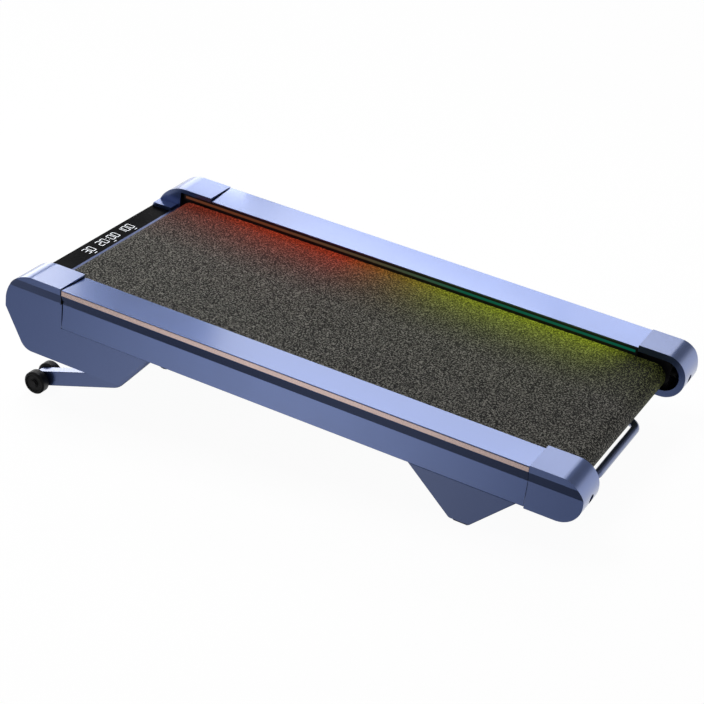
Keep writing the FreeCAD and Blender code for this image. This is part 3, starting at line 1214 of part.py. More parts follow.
def stand_on_wheels():
    """Tips the deck frame nose-up until the wheels and the backs of the foot pads meet the floor."""
    heel = (size("foot_heel") - size("pad_inset"), 0.0)
    axle = (-size("wheel_x"), -size("wheel_z"))
    reach = math.hypot(heel[0] - axle[0], heel[1] - axle[1])
    angle = math.atan2(heel[1] - axle[1], heel[0] - axle[0]) + math.asin(size("wheel_radius") / reach)
    tip = Rotation(Vector(0, 1, 0), math.degrees(angle))
    lift = -tip.multVec(Vector(heel[0], 0, heel[1])).z
    for obj in PIECES:
        obj.Placement = Placement(Vector(0, 0, lift), tip)
    doc.recompute()
    bounds = [obj.Shape.optimalBoundingBox() for obj in PIECES]
    middle = (min(item.XMin for item in bounds) + max(item.XMax for item in bounds)) / 2
    stance = Placement(Vector(-middle, 0, lift), tip)
    for obj in PIECES:
        obj.Placement = stance
    doc.recompute()
    return stance


for side_name, side_sign in SIDES:
    side_rail(side_name, side_sign)
    accent_strip(side_name, side_sign)
    light_channel(side_name, side_sign)
    front_side_cover(side_name, side_sign)
    rear_end_cap(side_name, side_sign)
    rear_foot(side_name, side_sign)
    frame_tube(side_name, side_sign)
    lift_arm(side_name, side_sign)
    lift_bracket(side_name, side_sign)
foot_pads()
front_hood()
display()
deck()
straps()
belly_pan()
belts()
roller("front", "-front_axle_x")
roller("rear", REAR_X)
axles()
drive()
control_box()
lift_frame()
lift_actuator()
wheels()
rear_handle()
mains_panel()
switch_rocker()
stance = stand_on_wheels()

for obj in doc.Objects:
    if "Invalid" in obj.State or "Error" in obj.State:
        raise RuntimeError(f"{obj.Name} failed: {obj.State}")
for obj in PIECES:
    if obj.Shape.isNull() or not obj.Shape.isValid() or not obj.Shape.Solids:
        raise RuntimeError(f"{obj.Label} has no valid shape")

os.makedirs("parts", exist_ok=True)
for obj in PIECES:
    obj.Shape.exportStep(f"parts/{obj.Label}.step")
tipped = math.degrees(stance.Rotation.Angle)
print(f"{len(PIECES)} pieces, tipped {tipped:.3f} degrees, moved {stance.Base}")
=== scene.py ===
"""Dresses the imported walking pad: painted mouldings, granular belt, lit display, light bars and stage."""

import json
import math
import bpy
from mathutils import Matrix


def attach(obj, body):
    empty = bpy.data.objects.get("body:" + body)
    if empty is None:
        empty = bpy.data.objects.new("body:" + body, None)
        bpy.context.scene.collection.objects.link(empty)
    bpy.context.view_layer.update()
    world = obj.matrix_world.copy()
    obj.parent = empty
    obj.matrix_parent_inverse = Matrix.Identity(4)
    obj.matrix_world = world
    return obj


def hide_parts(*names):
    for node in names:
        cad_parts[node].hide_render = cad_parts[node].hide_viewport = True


bl_info = {
    "name": "Walking Pad Dressing",
    "version": (1, 0, 0),
    "blender": (4, 5, 0),
    "location": "View3D > Sidebar > Walking Pad",
    "description": "Models the visible pieces of a walking pad over its packed frame and sets its studio",
    "category": "Object",
}

from contextlib import contextmanager

import bpy
from bpy.props import FloatProperty, FloatVectorProperty, PointerProperty
from mathutils import Matrix, Vector

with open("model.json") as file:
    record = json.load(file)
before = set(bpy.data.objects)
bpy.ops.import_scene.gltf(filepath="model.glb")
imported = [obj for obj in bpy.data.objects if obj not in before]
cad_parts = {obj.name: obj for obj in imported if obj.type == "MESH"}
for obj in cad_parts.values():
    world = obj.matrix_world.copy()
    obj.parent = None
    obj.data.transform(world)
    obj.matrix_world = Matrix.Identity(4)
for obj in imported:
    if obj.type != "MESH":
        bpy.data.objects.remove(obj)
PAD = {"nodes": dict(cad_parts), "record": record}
NODES = PAD["nodes"]
JOINTS = {joint["name"]: joint for joint in PAD["record"]["behaviour"]["joints"]}
SLOT_OF = {part["node"]: part["material_slot"] for part in PAD["record"]["subparts"]}
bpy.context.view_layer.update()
MM = 0.001
SIDES = {"left": -1, "right": 1}

# The pad stands nose-up. Pieces are shaped in the deck's own level frame, whose x starts at the
# rails' front seam and whose z starts at the rear soles, and are then tipped into place.
ROD_WAY = Vector(JOINTS["lift_rod_slide"]["axis"])
TIP = Matrix.Rotation(math.atan2(ROD_WAY.z, -ROD_WAY.x), 4, "Y")
PIVOT_ON_DECK = Vector((180.0, 0.0, 59.0)) * MM
SEAT = Matrix.Translation(Vector(JOINTS["lift_hinge"]["pos_m"]) - TIP @ PIVOT_ON_DECK)
STANCE = SEAT @ TIP
LEVEL = STANCE.inverted()


def millimetres(name, description, default):
    return FloatProperty(name=name, description=description, default=default * MM, min=0.0, unit="LENGTH")


def tint(name, description, default):
    return FloatVectorProperty(name=name, description=description, default=default, size=3, min=0.0, max=1.0,
                               subtype="COLOR")


def degrees(name, description, default):
    return FloatProperty(name=name, description=description, default=math.radians(default), subtype="ANGLE")


class PadSizes(bpy.types.PropertyGroup):
    """Sizes of the details that the frame leaves to the dressing."""
    rail_edge: millimetres("Rail edge", "Rounding of the rails' edges", 0.6)
    moulding_edge: millimetres("Moulding edge", "Rounding of the covers' and caps' edges", 0.9)
    steel_edge: millimetres("Steel edge", "Rounding of the lift arms' edges", 1.2)
    small_edge: millimetres("Small edge", "Rounding of strips, bars and small mouldings", 0.35)
    seam_width: millimetres("Seam", "Seam between a rail and its front cover", 2.0)
    # A dark strip stands in the seam between rail and cover as painted shade; these are its sizes.
    gasket_thickness: millimetres("Seam gasket", "Thickness of the gasket in that seam", 1.2)
    gasket_depth: millimetres("Seam gasket depth", "Height of the gasket in that seam", 17.0)
    gasket_inset: millimetres("Seam gasket inset", "Gasket behind the rail's faces", 1.2)
    lip_thickness: millimetres("Board lip", "Thickness of the strips along the board's edges", 6.0)
    digit_height: millimetres("Digit height", "Height of the display's digits", 17.0)
    digit_width: millimetres("Digit width", "Width of one digit", 9.0)
    digit_pitch: millimetres("Digit pitch", "Step from one digit to the next", 13.6)
    digit_lead: millimetres("Digit lead", "Digits ahead of the middle of the glass", 1.0)
    stroke: millimetres("Stroke", "Width of a digit's strokes", 1.3)
    dot_length: millimetres("Dot length", "Length of a colon's dots", 2.08)
    dash_length: millimetres("Dash length", "Length of the mark under each reading", 8.0)
    dash_drop: millimetres("Dash drop", "Step from a reading down to its mark", 6.0)
    print_height: millimetres("Light film", "Thickness of the lit digits on the glass", 0.08)
    inlet_set: millimetres("Inlet set", "Middle of the mains inlet in from its panel's edge", 21.7)
    inlet_wall: millimetres("Inlet wall", "Wall behind the mains inlet's socket", 2.0)
    pin_width: millimetres("Inlet pin", "Width of the mains inlet's pins", 4.0)
    pin_length: millimetres("Inlet pin length", "Length of the mains inlet's pins", 13.0)
    pin_pitch: millimetres("Inlet pin pitch", "Step between the mains inlet's pins", 6.0)
    mark_height: millimetres("Mark height", "Height of the rocker's on and off marks", 4.2)
    mark_stroke: millimetres("Mark stroke", "Width of the marks' strokes", 0.8)
    mark_relief: millimetres("Mark relief", "How far the marks stand out of the rocker", 0.15)
    rocker_tilt: degrees("Rocker tilt", "Lean of the rocker's face while it is off", 8.0)


class PadColours(bpy.types.PropertyGroup):
    """Colours of the pad's finishes."""
    paint: tint("Paint", "Satin metallic blue of the mouldings", (0.115, 0.180, 0.448))
    paint_flake: tint("Paint flake", "Lighter flakes in the paint", (0.19, 0.28, 0.59))
    copper: tint("Copper", "Rose copper of the accent strips", (0.94, 0.71, 0.66))
    grain_dark: tint("Belt grain, dark", "Hollows of the belt's grain", (0.006, 0.006, 0.005))
    grain_light: tint("Belt grain, light", "Crests of the belt's grain", (0.410, 0.397, 0.350))
    # The glow colours are the right light bar's light, painted on the belt as emission and as a tint of its
    # colour.
    glow_front: tint("Glow, front", "Light on the belt towards the display", (0.80, 0.065, 0.012))
    glow_middle: tint("Glow, middle", "Light on the belt half way", (0.50, 0.26, 0.03))
    glow_rear: tint("Glow, rear", "Light on the belt towards the handle", (0.52, 0.66, 0.03))
    lens_front: tint("Lens, front", "Diffuser towards the display", (0.10, 0.03, 0.012))
    lens_rear: tint("Lens, rear", "Diffuser towards the handle", (0.0, 0.075, 0.045))
    glass_dark: tint("Glass, dark", "Darker clouds of the smoked glass", (0.004, 0.004, 0.005))
    glass_light: tint("Glass, light", "Lighter clouds of the smoked glass", (0.007, 0.007, 0.009))
    digits: tint("Digits", "Lit digits of the display", (0.92, 0.95, 1.0))
    marks: tint("Marks", "Print of the rocker's marks", (0.62, 0.63, 0.65))
    floor_dark: tint("Floor, dark", "Darker clouds of the floor", (0.10, 0.10, 0.10))
    floor_light: tint("Floor, light", "Lighter clouds of the floor", (0.11, 0.11, 0.11))


class PadCamera(bpy.types.PropertyGroup):
    """Where the camera stands and what it aims at."""
    azimuth: degrees("Azimuth", "Camera round the pad, from square-on to the left side", 27.8485)
    elevation: degrees("Elevation", "Camera above the horizon", 26.2866)
    roll: degrees("Roll", "Camera turned about its own line of sight", 0.5732)
    distance: FloatProperty(name="Distance", description="Camera to its aim", default=3.12617, unit="LENGTH")
    aim: FloatVectorProperty(name="Aim", description="Point at the middle of the picture", subtype="XYZ",
                             default=(0.01351, -0.02624, 0.12))
    lens: FloatProperty(name="Lens", description="Focal length", default=94.011, unit="CAMERA")
    sensor: FloatProperty(name="Sensor", description="Width of the film", default=36.0, unit="CAMERA")


def sizes():
    return bpy.context.scene.pad_sizes


def colours():
    return bpy.context.scene.pad_colours


# Modelling helpers

# Edges bent by more than CREASE are rounded, and faces within SMOOTH are shaded as one. Facets within
# FLAT and points within MERGE are joined. A face looks along an axis where its normal is past FACING.
CREASE = math.radians(11)
SMOOTH = math.radians(35)
FLAT = math.radians(0.3)
MERGE = 0.01 * MM
FACING = 0.9


def only(obj):
    bpy.ops.object.select_all(action="DESELECT")
    obj.select_set(True)
    bpy.context.view_layer.objects.active = obj


@contextmanager
def editing(obj):
    """Edit mode on one object, with all its faces selected."""
    only(obj)
    bpy.ops.object.mode_set(mode="EDIT")
    bpy.ops.mesh.select_mode(type="FACE")
    bpy.ops.mesh.select_all(action="SELECT")
    yield
    bpy.ops.object.mode_set(mode="OBJECT")


@contextmanager
def editing_faces(obj, wanted):
    """Edit mode with only the faces selected whose normal passes the test."""
    only(obj)
    bpy.ops.object.mode_set(mode="EDIT")
    bpy.ops.mesh.select_mode(type="FACE")
    bpy.ops.mesh.select_all(action="DESELECT")
    bpy.ops.object.mode_set(mode="OBJECT")
    for face in obj.data.polygons:
        face.select = wanted(face.normal)
    bpy.ops.object.mode_set(mode="EDIT")
    yield
    bpy.ops.object.mode_set(mode="OBJECT")


def modify(obj, kind, **settings):
    only(obj)
    modifier = obj.modifiers.new(kind.title(), kind)
    for key, value in settings.items():
        setattr(modifier, key, value)
    bpy.ops.object.modifier_apply(modifier=modifier.name)


def shade(obj):
    only(obj)
    bpy.ops.object.shade_smooth_by_angle(angle=SMOOTH)


def round_edges(obj, width, segments=3):
    """Rounds every crease and shades the rounds smooth, while the broad faces between them stay flat."""
    modify(obj, "BEVEL", width=width, segments=segments, limit_method="ANGLE", angle_limit=CREASE,
           miter_outer="MITER_ARC")
    shade(obj)
    modify(obj, "WEIGHTED_NORMAL", keep_sharp=True)


def moulding(node, name, edge):
    """A copy of a CAD node with its facets joined into faces and its edges rounded."""
    obj = bpy.data.objects.new(name, NODES[node].data.copy())
    bpy.context.scene.collection.objects.link(obj)
    with editing(obj):
        bpy.ops.mesh.remove_doubles(threshold=MERGE)
        bpy.ops.mesh.dissolve_limited(angle_limit=FLAT)
    round_edges(obj, edge)
    return obj


def block(name, low, high):
    """A cube primitive stretched between two corners of the deck frame."""
    low, high = Vector(low), Vector(high)
    bpy.ops.object.select_all(action="DESELECT")
    bpy.ops.mesh.primitive_cube_add(size=1.0, location=(low + high) / 2)
    obj = bpy.context.object
    obj.name = name
    obj.scale = high - low
    only(obj)
    bpy.ops.object.transform_apply(location=True, rotation=True, scale=True)
    return obj


def strip(name, low, high):
    """A straight bar with rounded edges, shaped on the deck and tipped into place."""
    obj = block(name, low, high)
    round_edges(obj, sizes().small_edge, 2)
    return tip_into_place(obj)


def on_deck(node):
    """Lowest and highest corner of a CAD node in the deck frame."""
    points = [LEVEL @ vertex.co for vertex in NODES[node].data.vertices]
    low = Vector(min(point[axis] for point in points) for axis in range(3))
    high = Vector(max(point[axis] for point in points) for axis in range(3))
    return low, high


def join(name, parts):
    bpy.ops.object.select_all(action="DESELECT")
    for part in parts:
        part.select_set(True)
    bpy.context.view_layer.objects.active = parts[0]
    bpy.ops.object.join()
    parts[0].name = name
    parts[0].data.name = name
    return parts[0]


def tip_into_place(obj):
    obj.data.transform(STANCE)
    obj.data.update()
    return obj


def fit_to_frame(obj, material, body, slot, *nodes):
    """Finishes a piece: one material, the body it rides on and the CAD nodes it stands for. Its slot is not
    used.
    """
    obj.data.materials.clear()
    obj.data.materials.append(material)
    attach(obj, body)
    if nodes:
        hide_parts(*nodes)


# Materials

class Nodes:
    """A node tree with short words for the nodes that the finishes and the studio share."""

    def __init__(self, tree):
        self.tree = tree

    def add(self, kind, **settings):
        node = self.tree.nodes.new(kind)
        for key, value in settings.items():
            setattr(node, key, value)
        return node

    def link(self, out, into):
        self.tree.links.new(out, into)

    def axes(self, vector):
        split = self.add("ShaderNodeSeparateXYZ")
        self.link(vector, split.inputs["Vector"])
        return split.outputs

    def maths(self, operation, first, second=0.0):
        node = self.add("ShaderNodeMath", operation=operation)
        for socket, value in zip(node.inputs, (first, second)):
            if isinstance(value, (int, float)):
                socket.default_value = value
            else:
                self.link(value, socket)
        return node.outputs["Value"]

    def product(self, *values):
        result = values[0]
        for value in values[1:]:
            result = self.maths("MULTIPLY", result, value)
        return result

    def ramp(self, factor, *stops):
        node = self.add("ShaderNodeValToRGB")
        elements = node.color_ramp.elements
        while len(elements) < len(stops):
            elements.new(0.5)
        for element, (position, colour) in zip(elements, stops):
            element.position = position
            element.color = (*colour, 1.0)
        self.link(factor, node.inputs["Fac"])
        return node.outputs["Color"]

    def greys(self, factor, stops):
        return self.ramp(factor, *[(position, (level,) * 3) for position, level in stops])

    def tinted(self, colour, tone, share):
        """Multiplies a colour by a tone. A Mix node's colour sockets can only be told by number."""
        node = self.add("ShaderNodeMix", data_type="RGBA", blend_type="MULTIPLY")
        for number, out in ((0, share), (6, colour), (7, tone)):
            self.link(out, node.inputs[number])
        return node.outputs[2]

    def span(self, factor, low, high, from_low=0.3, from_high=0.7):
        node = self.add("ShaderNodeMapRange")
        node.inputs["From Min"].default_value = from_low
        node.inputs["From Max"].default_value = from_high
        node.inputs["To Min"].default_value = low
        node.inputs["To Max"].default_value = high
        self.link(factor, node.inputs["Value"])
        return node.outputs["Result"]


class Finish(Nodes):
    """A material whose nodes read the piece's own Object coordinates."""

    def __init__(self, name):
        self.material = bpy.data.materials.new(name)
        self.material.use_nodes = True
        super().__init__(self.material.node_tree)
        self.shader = self.tree.nodes["Principled BSDF"]
        self.place = self.add("ShaderNodeTexCoord").outputs["Object"]

    def put(self, **values):
        """Sets plain numbers and colours on the shader's own sockets."""
        for key, value in values.items():
            socket = self.shader.inputs[key.replace("_", " ").title().replace("Ior", "IOR")]
            socket.default_value = (*value, 1.0) if isinstance(value, tuple) else value

    def noise(self, scale, detail=3.0, roughness=0.5, stretch=None):
        place = self.place
        if stretch:
            mapping = self.add("ShaderNodeMapping")
            mapping.inputs["Scale"].default_value = stretch
            self.link(place, mapping.inputs["Vector"])
            place = mapping.outputs["Vector"]
        node = self.add("ShaderNodeTexNoise")
        node.inputs["Scale"].default_value = scale
        node.inputs["Detail"].default_value = detail
        node.inputs["Roughness"].default_value = roughness
        self.link(place, node.inputs["Vector"])
        return node.outputs["Fac"]

    def cells(self, scale):
        node = self.add("ShaderNodeTexVoronoi", feature="F1")
        node.inputs["Scale"].default_value = scale
        self.link(self.place, node.inputs["Vector"])
        return node.outputs["Distance"]

    def deck_share(self, low, high, axis="X"):
        """How far a point is along the deck's axis, 0 at low and 1 at high, in metres of the deck frame."""
        mapping = self.add("ShaderNodeMapping", vector_type="TEXTURE")
        mapping.inputs["Location"].default_value = STANCE.to_translation()
        mapping.inputs["Rotation"].default_value = TIP.to_euler()
        self.link(self.place, mapping.inputs["Vector"])
        return self.span(self.axes(mapping.outputs["Vector"])[axis], 0.0, 1.0, low, high)

    def along_rail(self):
        return self.deck_share(0.0, on_deck("side_rail_left")[1].x)

    def colour(self, out):
        self.link(out, self.shader.inputs["Base Color"])

    def rough(self, out):
        self.link(out, self.shader.inputs["Roughness"])

    def bump(self, out, depth, strength):
        node = self.add("ShaderNodeBump")
        node.inputs["Strength"].default_value = strength
        node.inputs["Distance"].default_value = depth
        self.link(out, node.inputs["Height"])
        self.link(node.outputs["Normal"], self.shader.inputs["Normal"])


def blend(first, second, share):
    return tuple(a + (b - a) * share for a, b in zip(first, second))


def scaled(colour, factor):
    return tuple(min(1.0, part * factor) for part in colour)


# Noise scales, in features per metre
FLAKES = 2600
ORANGE_PEEL = 900
GLOSS_CLOUDS = 18
BRUSH_LINES = 12
CRUMBS = 370
SPECKS = 520
LENS_CLOUDS = 160
GLASS_CLOUDS = 30
GLASS_SMEARS = 60
DIGIT_GRAIN = 700
FLOOR_CLOUDS = 1.2


def painted(name, roughness, coat_roughness, depth=1.0):
    """Satin metallic blue: fine flakes in the colour and a faint orange-peel skin under a clear coat."""
    look = Finish(name)
    base = scaled(colours().paint, depth)
    flake = blend(base, scaled(colours().paint_flake, depth), 0.35)
    look.colour(look.ramp(look.noise(FLAKES, 1.0), (0.35, base), (0.75, flake)))
    look.rough(look.span(look.noise(GLOSS_CLOUDS, 4.0), roughness - 0.01, roughness + 0.01))
    look.bump(look.noise(ORANGE_PEEL, 2.0), 0.004 * MM, 0.25)
    look.put(metallic=0.92, coat_weight=1.0, coat_roughness=coat_roughness, coat_ior=1.65)
    return look.material


def plain(name, colour, roughness, metallic=0.0, grain=220, depth=0.05, spread=0.25):
    """A moulded, cast or coated surface with a fine grain and uneven gloss."""
    look = Finish(name)
    fine = look.noise(grain, 5.0, 0.6)
    look.colour(look.ramp(fine, (0.3, scaled(colour, 1 - spread)), (0.7, scaled(colour, 1 + spread))))
    look.rough(look.span(look.noise(grain / 6, 4.0), roughness - 0.06, roughness + 0.08))
    look.bump(fine, depth * MM, 0.5)
    look.put(metallic=metallic)
    return look.material


def brushed(name, colour, roughness, stretch=(4, 240, 240)):
    """Bare metal with long fine brush lines."""
    look = Finish(name)
    lines = look.noise(BRUSH_LINES, 3.0, 0.6, stretch)
    look.colour(look.ramp(lines, (0.25, scaled(colour, 0.93)), (0.75, colour)))
    look.rough(look.span(lines, roughness - 0.05, roughness + 0.08))
    look.bump(lines, 0.02 * MM, 0.3)
    look.put(metallic=1.0)
    return look.material


# The right light bar's glow painted on the belt, in metres across the deck and down from the belt's top
GLOW_FROM = 0.02
GLOW_TO = 0.19
SPILL_FROM = -0.10
GLOW_BELOW = (0.016, 0.003)
GLOW_FALL = 2.8
GLOW_AND_SHADE_SHARE = 0.88
GLOW_POWER = 0.42
SPILL_POWER = 0.07


def painted_belt_glow(look, height, along, across):
    """Strength of the glow painted on the belt as emission, strongest at the belt's edge and fading towards
    both ends and below the top.
    """
    # The painted spill carries the painted glow further across the belt.
    painted_spill = look.product(look.deck_share(SPILL_FROM, GLOW_TO, "Y"), SPILL_POWER)
    fall = look.maths("ADD", look.maths("POWER", across, GLOW_FALL), painted_spill)
    front_end = look.span(along, 0.35, 1.0, from_low=-0.04, from_high=0.16)
    rear_end = look.span(along, 1.0, 0.0, from_low=0.92, from_high=1.0)
    top = on_deck("running_belt")[1].z
    upper = look.deck_share(top - GLOW_BELOW[0], top - GLOW_BELOW[1], "Z")
    grains = look.span(height, 0.22, 1.0, from_low=0.30, from_high=0.58)
    return look.product(fall, front_end, rear_end, upper, grains, GLOW_POWER)


def belt_finish():
    """Granular top: coarse crumbs broken up by fine specks, with the light bar's glow and the rail's shade
    painted along one edge.
    """
    look = Finish("granular_belt")
    crumbs = look.noise(CRUMBS, 2.0, 0.55)
    height = look.maths("SUBTRACT", crumbs, look.product(look.cells(SPECKS), 0.18))
    dark, light = colours().grain_dark, colours().grain_light
    grain = look.ramp(height, (0.37, dark), (0.45, blend(dark, light, 0.30)), (0.53, light))
    look.rough(look.span(crumbs, 0.62, 0.85))
    look.bump(height, 0.8 * MM, 0.6)
    along = look.along_rail()
    across = look.deck_share(GLOW_FROM, GLOW_TO, "Y")
    front, middle, rear = colours().glow_front, colours().glow_middle, colours().glow_rear
    tones = look.ramp(along, (0.02, front), (0.34, front), (0.46, middle), (0.58, blend(middle, rear, 0.8)),
                      (0.70, rear))
    # Near the right rail the belt's colour is multiplied by the glow tones: painted coloured light and
    # painted shade of the rail.
    look.colour(look.tinted(grain, tones, look.product(across, GLOW_AND_SHADE_SHARE)))
    # The bar's light is painted on the belt as emission, in the same tones.
    look.link(tones, look.shader.inputs["Emission Color"])
    look.link(painted_belt_glow(look, height, along, across), look.shader.inputs["Emission Strength"])
    look.put(specular_ior_level=0.2)
    return look.material


def lens_finish(name, brightness):
    """Diffusing light bar whose colour runs from the display to the handle."""
    look = Finish(name)
    front, rear = colours().lens_front, colours().lens_rear
    tone = look.ramp(look.along_rail(), (0.15, front), (0.42, blend(front, rear, 0.45)), (0.62, rear))
    look.colour(tone)
    look.rough(look.span(look.noise(LENS_CLOUDS), 0.30, 0.42))
    look.link(tone, look.shader.inputs["Emission Color"])
    look.put(emission_strength=brightness)
    return look.material


def glass_finish():
    """Smoked glass with hardly any mirror of its own."""
    look = Finish("smoked_glass")
    clouds = look.noise(GLASS_CLOUDS, 2.0)
    look.colour(look.ramp(clouds, (0.3, colours().glass_dark), (0.7, colours().glass_light)))
    look.rough(look.span(look.noise(GLASS_SMEARS, 4.0), 0.22, 0.30))
    look.put(specular_ior_level=0.01)
    return look.material


def digit_finish():
    """Lit film of the digits, slightly mottled."""
    look = Finish("lit_digits")
    lit = tuple(colours().digits)
    look.colour(look.ramp(look.noise(DIGIT_GRAIN, 2.0), (0.3, scaled(lit, 0.92)), (0.7, lit)))
    look.put(roughness=0.5, emission_color=lit, emission_strength=0.9)
    return look.material


def floor_finish():
    """Pale floor that carries its own soft light."""
    look = Finish("pale_floor")
    clouds = look.noise(FLOOR_CLOUDS, 2.0)
    look.colour(look.ramp(clouds, (0.3, colours().floor_dark), (0.7, colours().floor_light)))
    look.put(roughness=0.9, specular_ior_level=0.0)
    look.put(emission_color=(1.0, 1.0, 1.0), emission_strength=0.955)
    return look.material


# Finishes of the frame's own material slots: grained or coated ones, and brushed metals
PLAIN_LOOKS = {
    "black_trim": dict(name="black_moulding", colour=(0.012, 0.012, 0.015), roughness=0.42, depth=0.03),
    "circuit": dict(name="circuit_board", colour=(0.02, 0.09, 0.04), roughness=0.5, grain=500),
    "frame_steel": dict(name="black_powder_coat", colour=(0.018, 0.018, 0.021), roughness=0.5, metallic=0.2,
                        grain=600, depth=0.08),
    "deck_wood": dict(name="phenolic_board", colour=(0.03, 0.022, 0.018), roughness=0.35, grain=90,
                      spread=0.5),
    "rubber": dict(name="moulded_rubber", colour=(0.018, 0.018, 0.018), roughness=0.75, grain=700,
                   depth=0.12),
    "wheel": dict(name="wheel_rubber", colour=(0.016, 0.017, 0.019), roughness=0.48, grain=500),
    "pan": dict(name="tray_moulding", colour=(0.014, 0.014, 0.017), roughness=0.55, grain=900, depth=0.10),
    "motor": dict(name="black_enamel", colour=(0.02, 0.02, 0.022), roughness=0.33, metallic=0.3, grain=300),
}
BRUSHED_LOOKS = {
    "silver_trim": dict(name="bright_trim", colour=(0.11, 0.14, 0.28), roughness=0.36,
                        stretch=(240, 4, 240)),
    "bright_steel": dict(name="plain_steel", colour=(0.56, 0.57, 0.60), roughness=0.3),
    "pulley": dict(name="turned_alloy", colour=(0.66, 0.66, 0.68), roughness=0.25),
    "electronics": dict(name="finned_alloy", colour=(0.5, 0.51, 0.53), roughness=0.35),
}
# Steel fittings given dark finishes where they can be seen; the tension bolts' dark finish is painted shade
# in the rear caps' mouths
DARK_FITTINGS = {
    "wheel_axles": "black_trim", "tension_bolts": "frame_steel", "rear_axle": "frame_steel",
    "roller_pulley": "frame_steel", "front_roller": "frame_steel", "rear_roller": "frame_steel",
}


def finish_for(slot):
    """The finish of one of the frame's slots, made the first time that it is asked for."""
    maker, look = (plain, PLAIN_LOOKS[slot]) if slot in PLAIN_LOOKS else (brushed, BRUSHED_LOOKS[slot])
    return bpy.data.materials.get(look["name"]) or maker(**look)


# Pieces

class PadOperator:
    """What every piece's operator shares."""
    bl_options = {"REGISTER", "UNDO"}

    def execute(self, context):
        self.build()
        return {"FINISHED"}


class PAD_OT_rails(PadOperator, bpy.types.Operator):
    """Shapes the painted side rails and their copper accent strips"""
    bl_idname = "pad.rails"
    bl_label = "Side rails"

    def build(self):
        paint = painted("rail_paint", 0.24, 0.11)
        copper = brushed("rose_copper", tuple(colours().copper), 0.26, (3, 200, 200))
        for name in SIDES:
            rail = moulding(f"side_rail_{name}", f"rail_profile_{name}", sizes().rail_edge)
            fit_to_frame(rail, paint, "chassis", "rail_paint", f"side_rail_{name}")
            bar = block(f"copper_strip_{name}", *on_deck(f"accent_strip_{name}"))
            with editing_faces(bar, lambda normal: abs(normal.y) > FACING):
                bpy.ops.mesh.bevel(offset=sizes().small_edge, segments=2, affect="EDGES")
            tip_into_place(bar)
            fit_to_frame(bar, copper, "chassis", "copper_trim", f"accent_strip_{name}")


class PAD_OT_covers(PadOperator, bpy.types.Operator):
    """Shapes the front covers with dark strips in their seams as painted shade, rear end caps, rear feet and
    hood
    """
    bl_idname = "pad.covers"
    bl_label = "Covers, caps, feet and hood"

    def shade_strip(self, name):
        """A dark strip that closes the seam between a rail and its front cover, below the copper strip, as
        painted shade in the seam.
        """
        low, high = on_deck(f"side_rail_{name}")
        inset = sizes().gasket_inset
        top = on_deck(f"accent_strip_{name}")[0].z - inset
        middle, half = low.x - sizes().seam_width / 2, sizes().gasket_thickness / 2
        return strip(f"seam_gasket_{name}", (middle - half, low.y + inset, top - sizes().gasket_depth),
                     (middle + half, high.y - inset, top))

    def build(self):
        paint = painted("moulding_paint", 0.34, 0.16, 1.02)
        # The feet get a darker copy of the moulding paint, as painted shade.
        shaded_foot_paint = painted("shaded_foot_paint", 0.38, 0.20, 0.85)
        shells = {"front_side_cover": paint, "rear_end_cap": paint, "rear_foot": shaded_foot_paint}
        for name in SIDES:
            for node, finish in shells.items():
                shell = moulding(f"{node}_{name}", f"{node}_shell_{name}", sizes().moulding_edge)
                fit_to_frame(shell, finish, "chassis", "cover_paint", f"{node}_{name}")
            # Each seam gets its dark strip, as painted shade.
            fit_to_frame(self.shade_strip(name), finish_for("rubber"), "chassis", "rubber")
        hood = moulding("front_hood", "hood_shell", sizes().moulding_edge)
        fit_to_frame(hood, paint, "chassis", "cover_paint", "front_hood")


class PAD_OT_belt(PadOperator, bpy.types.Operator):
    """Shapes the endless belt with its granular top, and the lips along the board under it"""
    bl_idname = "pad.belt"
    bl_label = "Running belt and board lips"

    def lip(self, name, side):
        """A strip along the board's edge that reaches under the belt's edge to the light channel."""
        board_low, board_high = on_deck("deck_board")
        channel_low, channel_high = on_deck(f"light_channel_{name}")
        near, far = (board_high.y, channel_low.y) if side > 0 else (channel_high.y, board_low.y)
        middle, half = (board_low.z + board_high.z) / 2, sizes().lip_thickness / 2
        return strip(f"board_lip_{name}", (board_low.x, near, middle - half),
                     (channel_high.x, far, middle + half))

    def build(self):
        belt = moulding("running_belt", "belt_loop", sizes().small_edge)
        fit_to_frame(belt, belt_finish(), "chassis", "belt", "running_belt")
        for name, side in SIDES.items():
            fit_to_frame(self.lip(name, side), finish_for("deck_wood"), "chassis", "deck_wood")


# Each stroke of a seven-stroke digit: half widths across, half heights up, and whether it lies flat
SEGMENTS = {
    "top": (0.0, 1.0, True), "middle": (0.0, 0.0, True), "bottom": (0.0, -1.0, True),
    "high_left": (-1.0, 0.5, False), "high_right": (1.0, 0.5, False),
    "low_left": (-1.0, -0.5, False), "low_right": (1.0, -0.5, False),
}
LIT = {
    "0": ("top", "bottom", "high_left", "high_right", "low_left", "low_right"),
    "1": ("high_right", "low_right"),
    "2": ("top", "middle", "bottom", "high_right", "low_left"),
    "3": ("top", "middle", "bottom", "high_right", "low_right"),
}
# Each reading: its text, its middle across the deck and its dash's shift from there, in millimetres
READINGS = (("30", -54.0, 1.0), ("20:00", 4.0, 3.0), ("100", 61.0, 12.0))
# A colon's step as a share of the digits' pitch, and its dots' rise as a share of their height
COLON_STEP = 0.5
COLON_RISE = 0.22
# A stroke's points: their length in half strokes, and the share of the width that is left at the tip
POINT_LENGTH = 0.8
POINT_WIDTH = 0.12


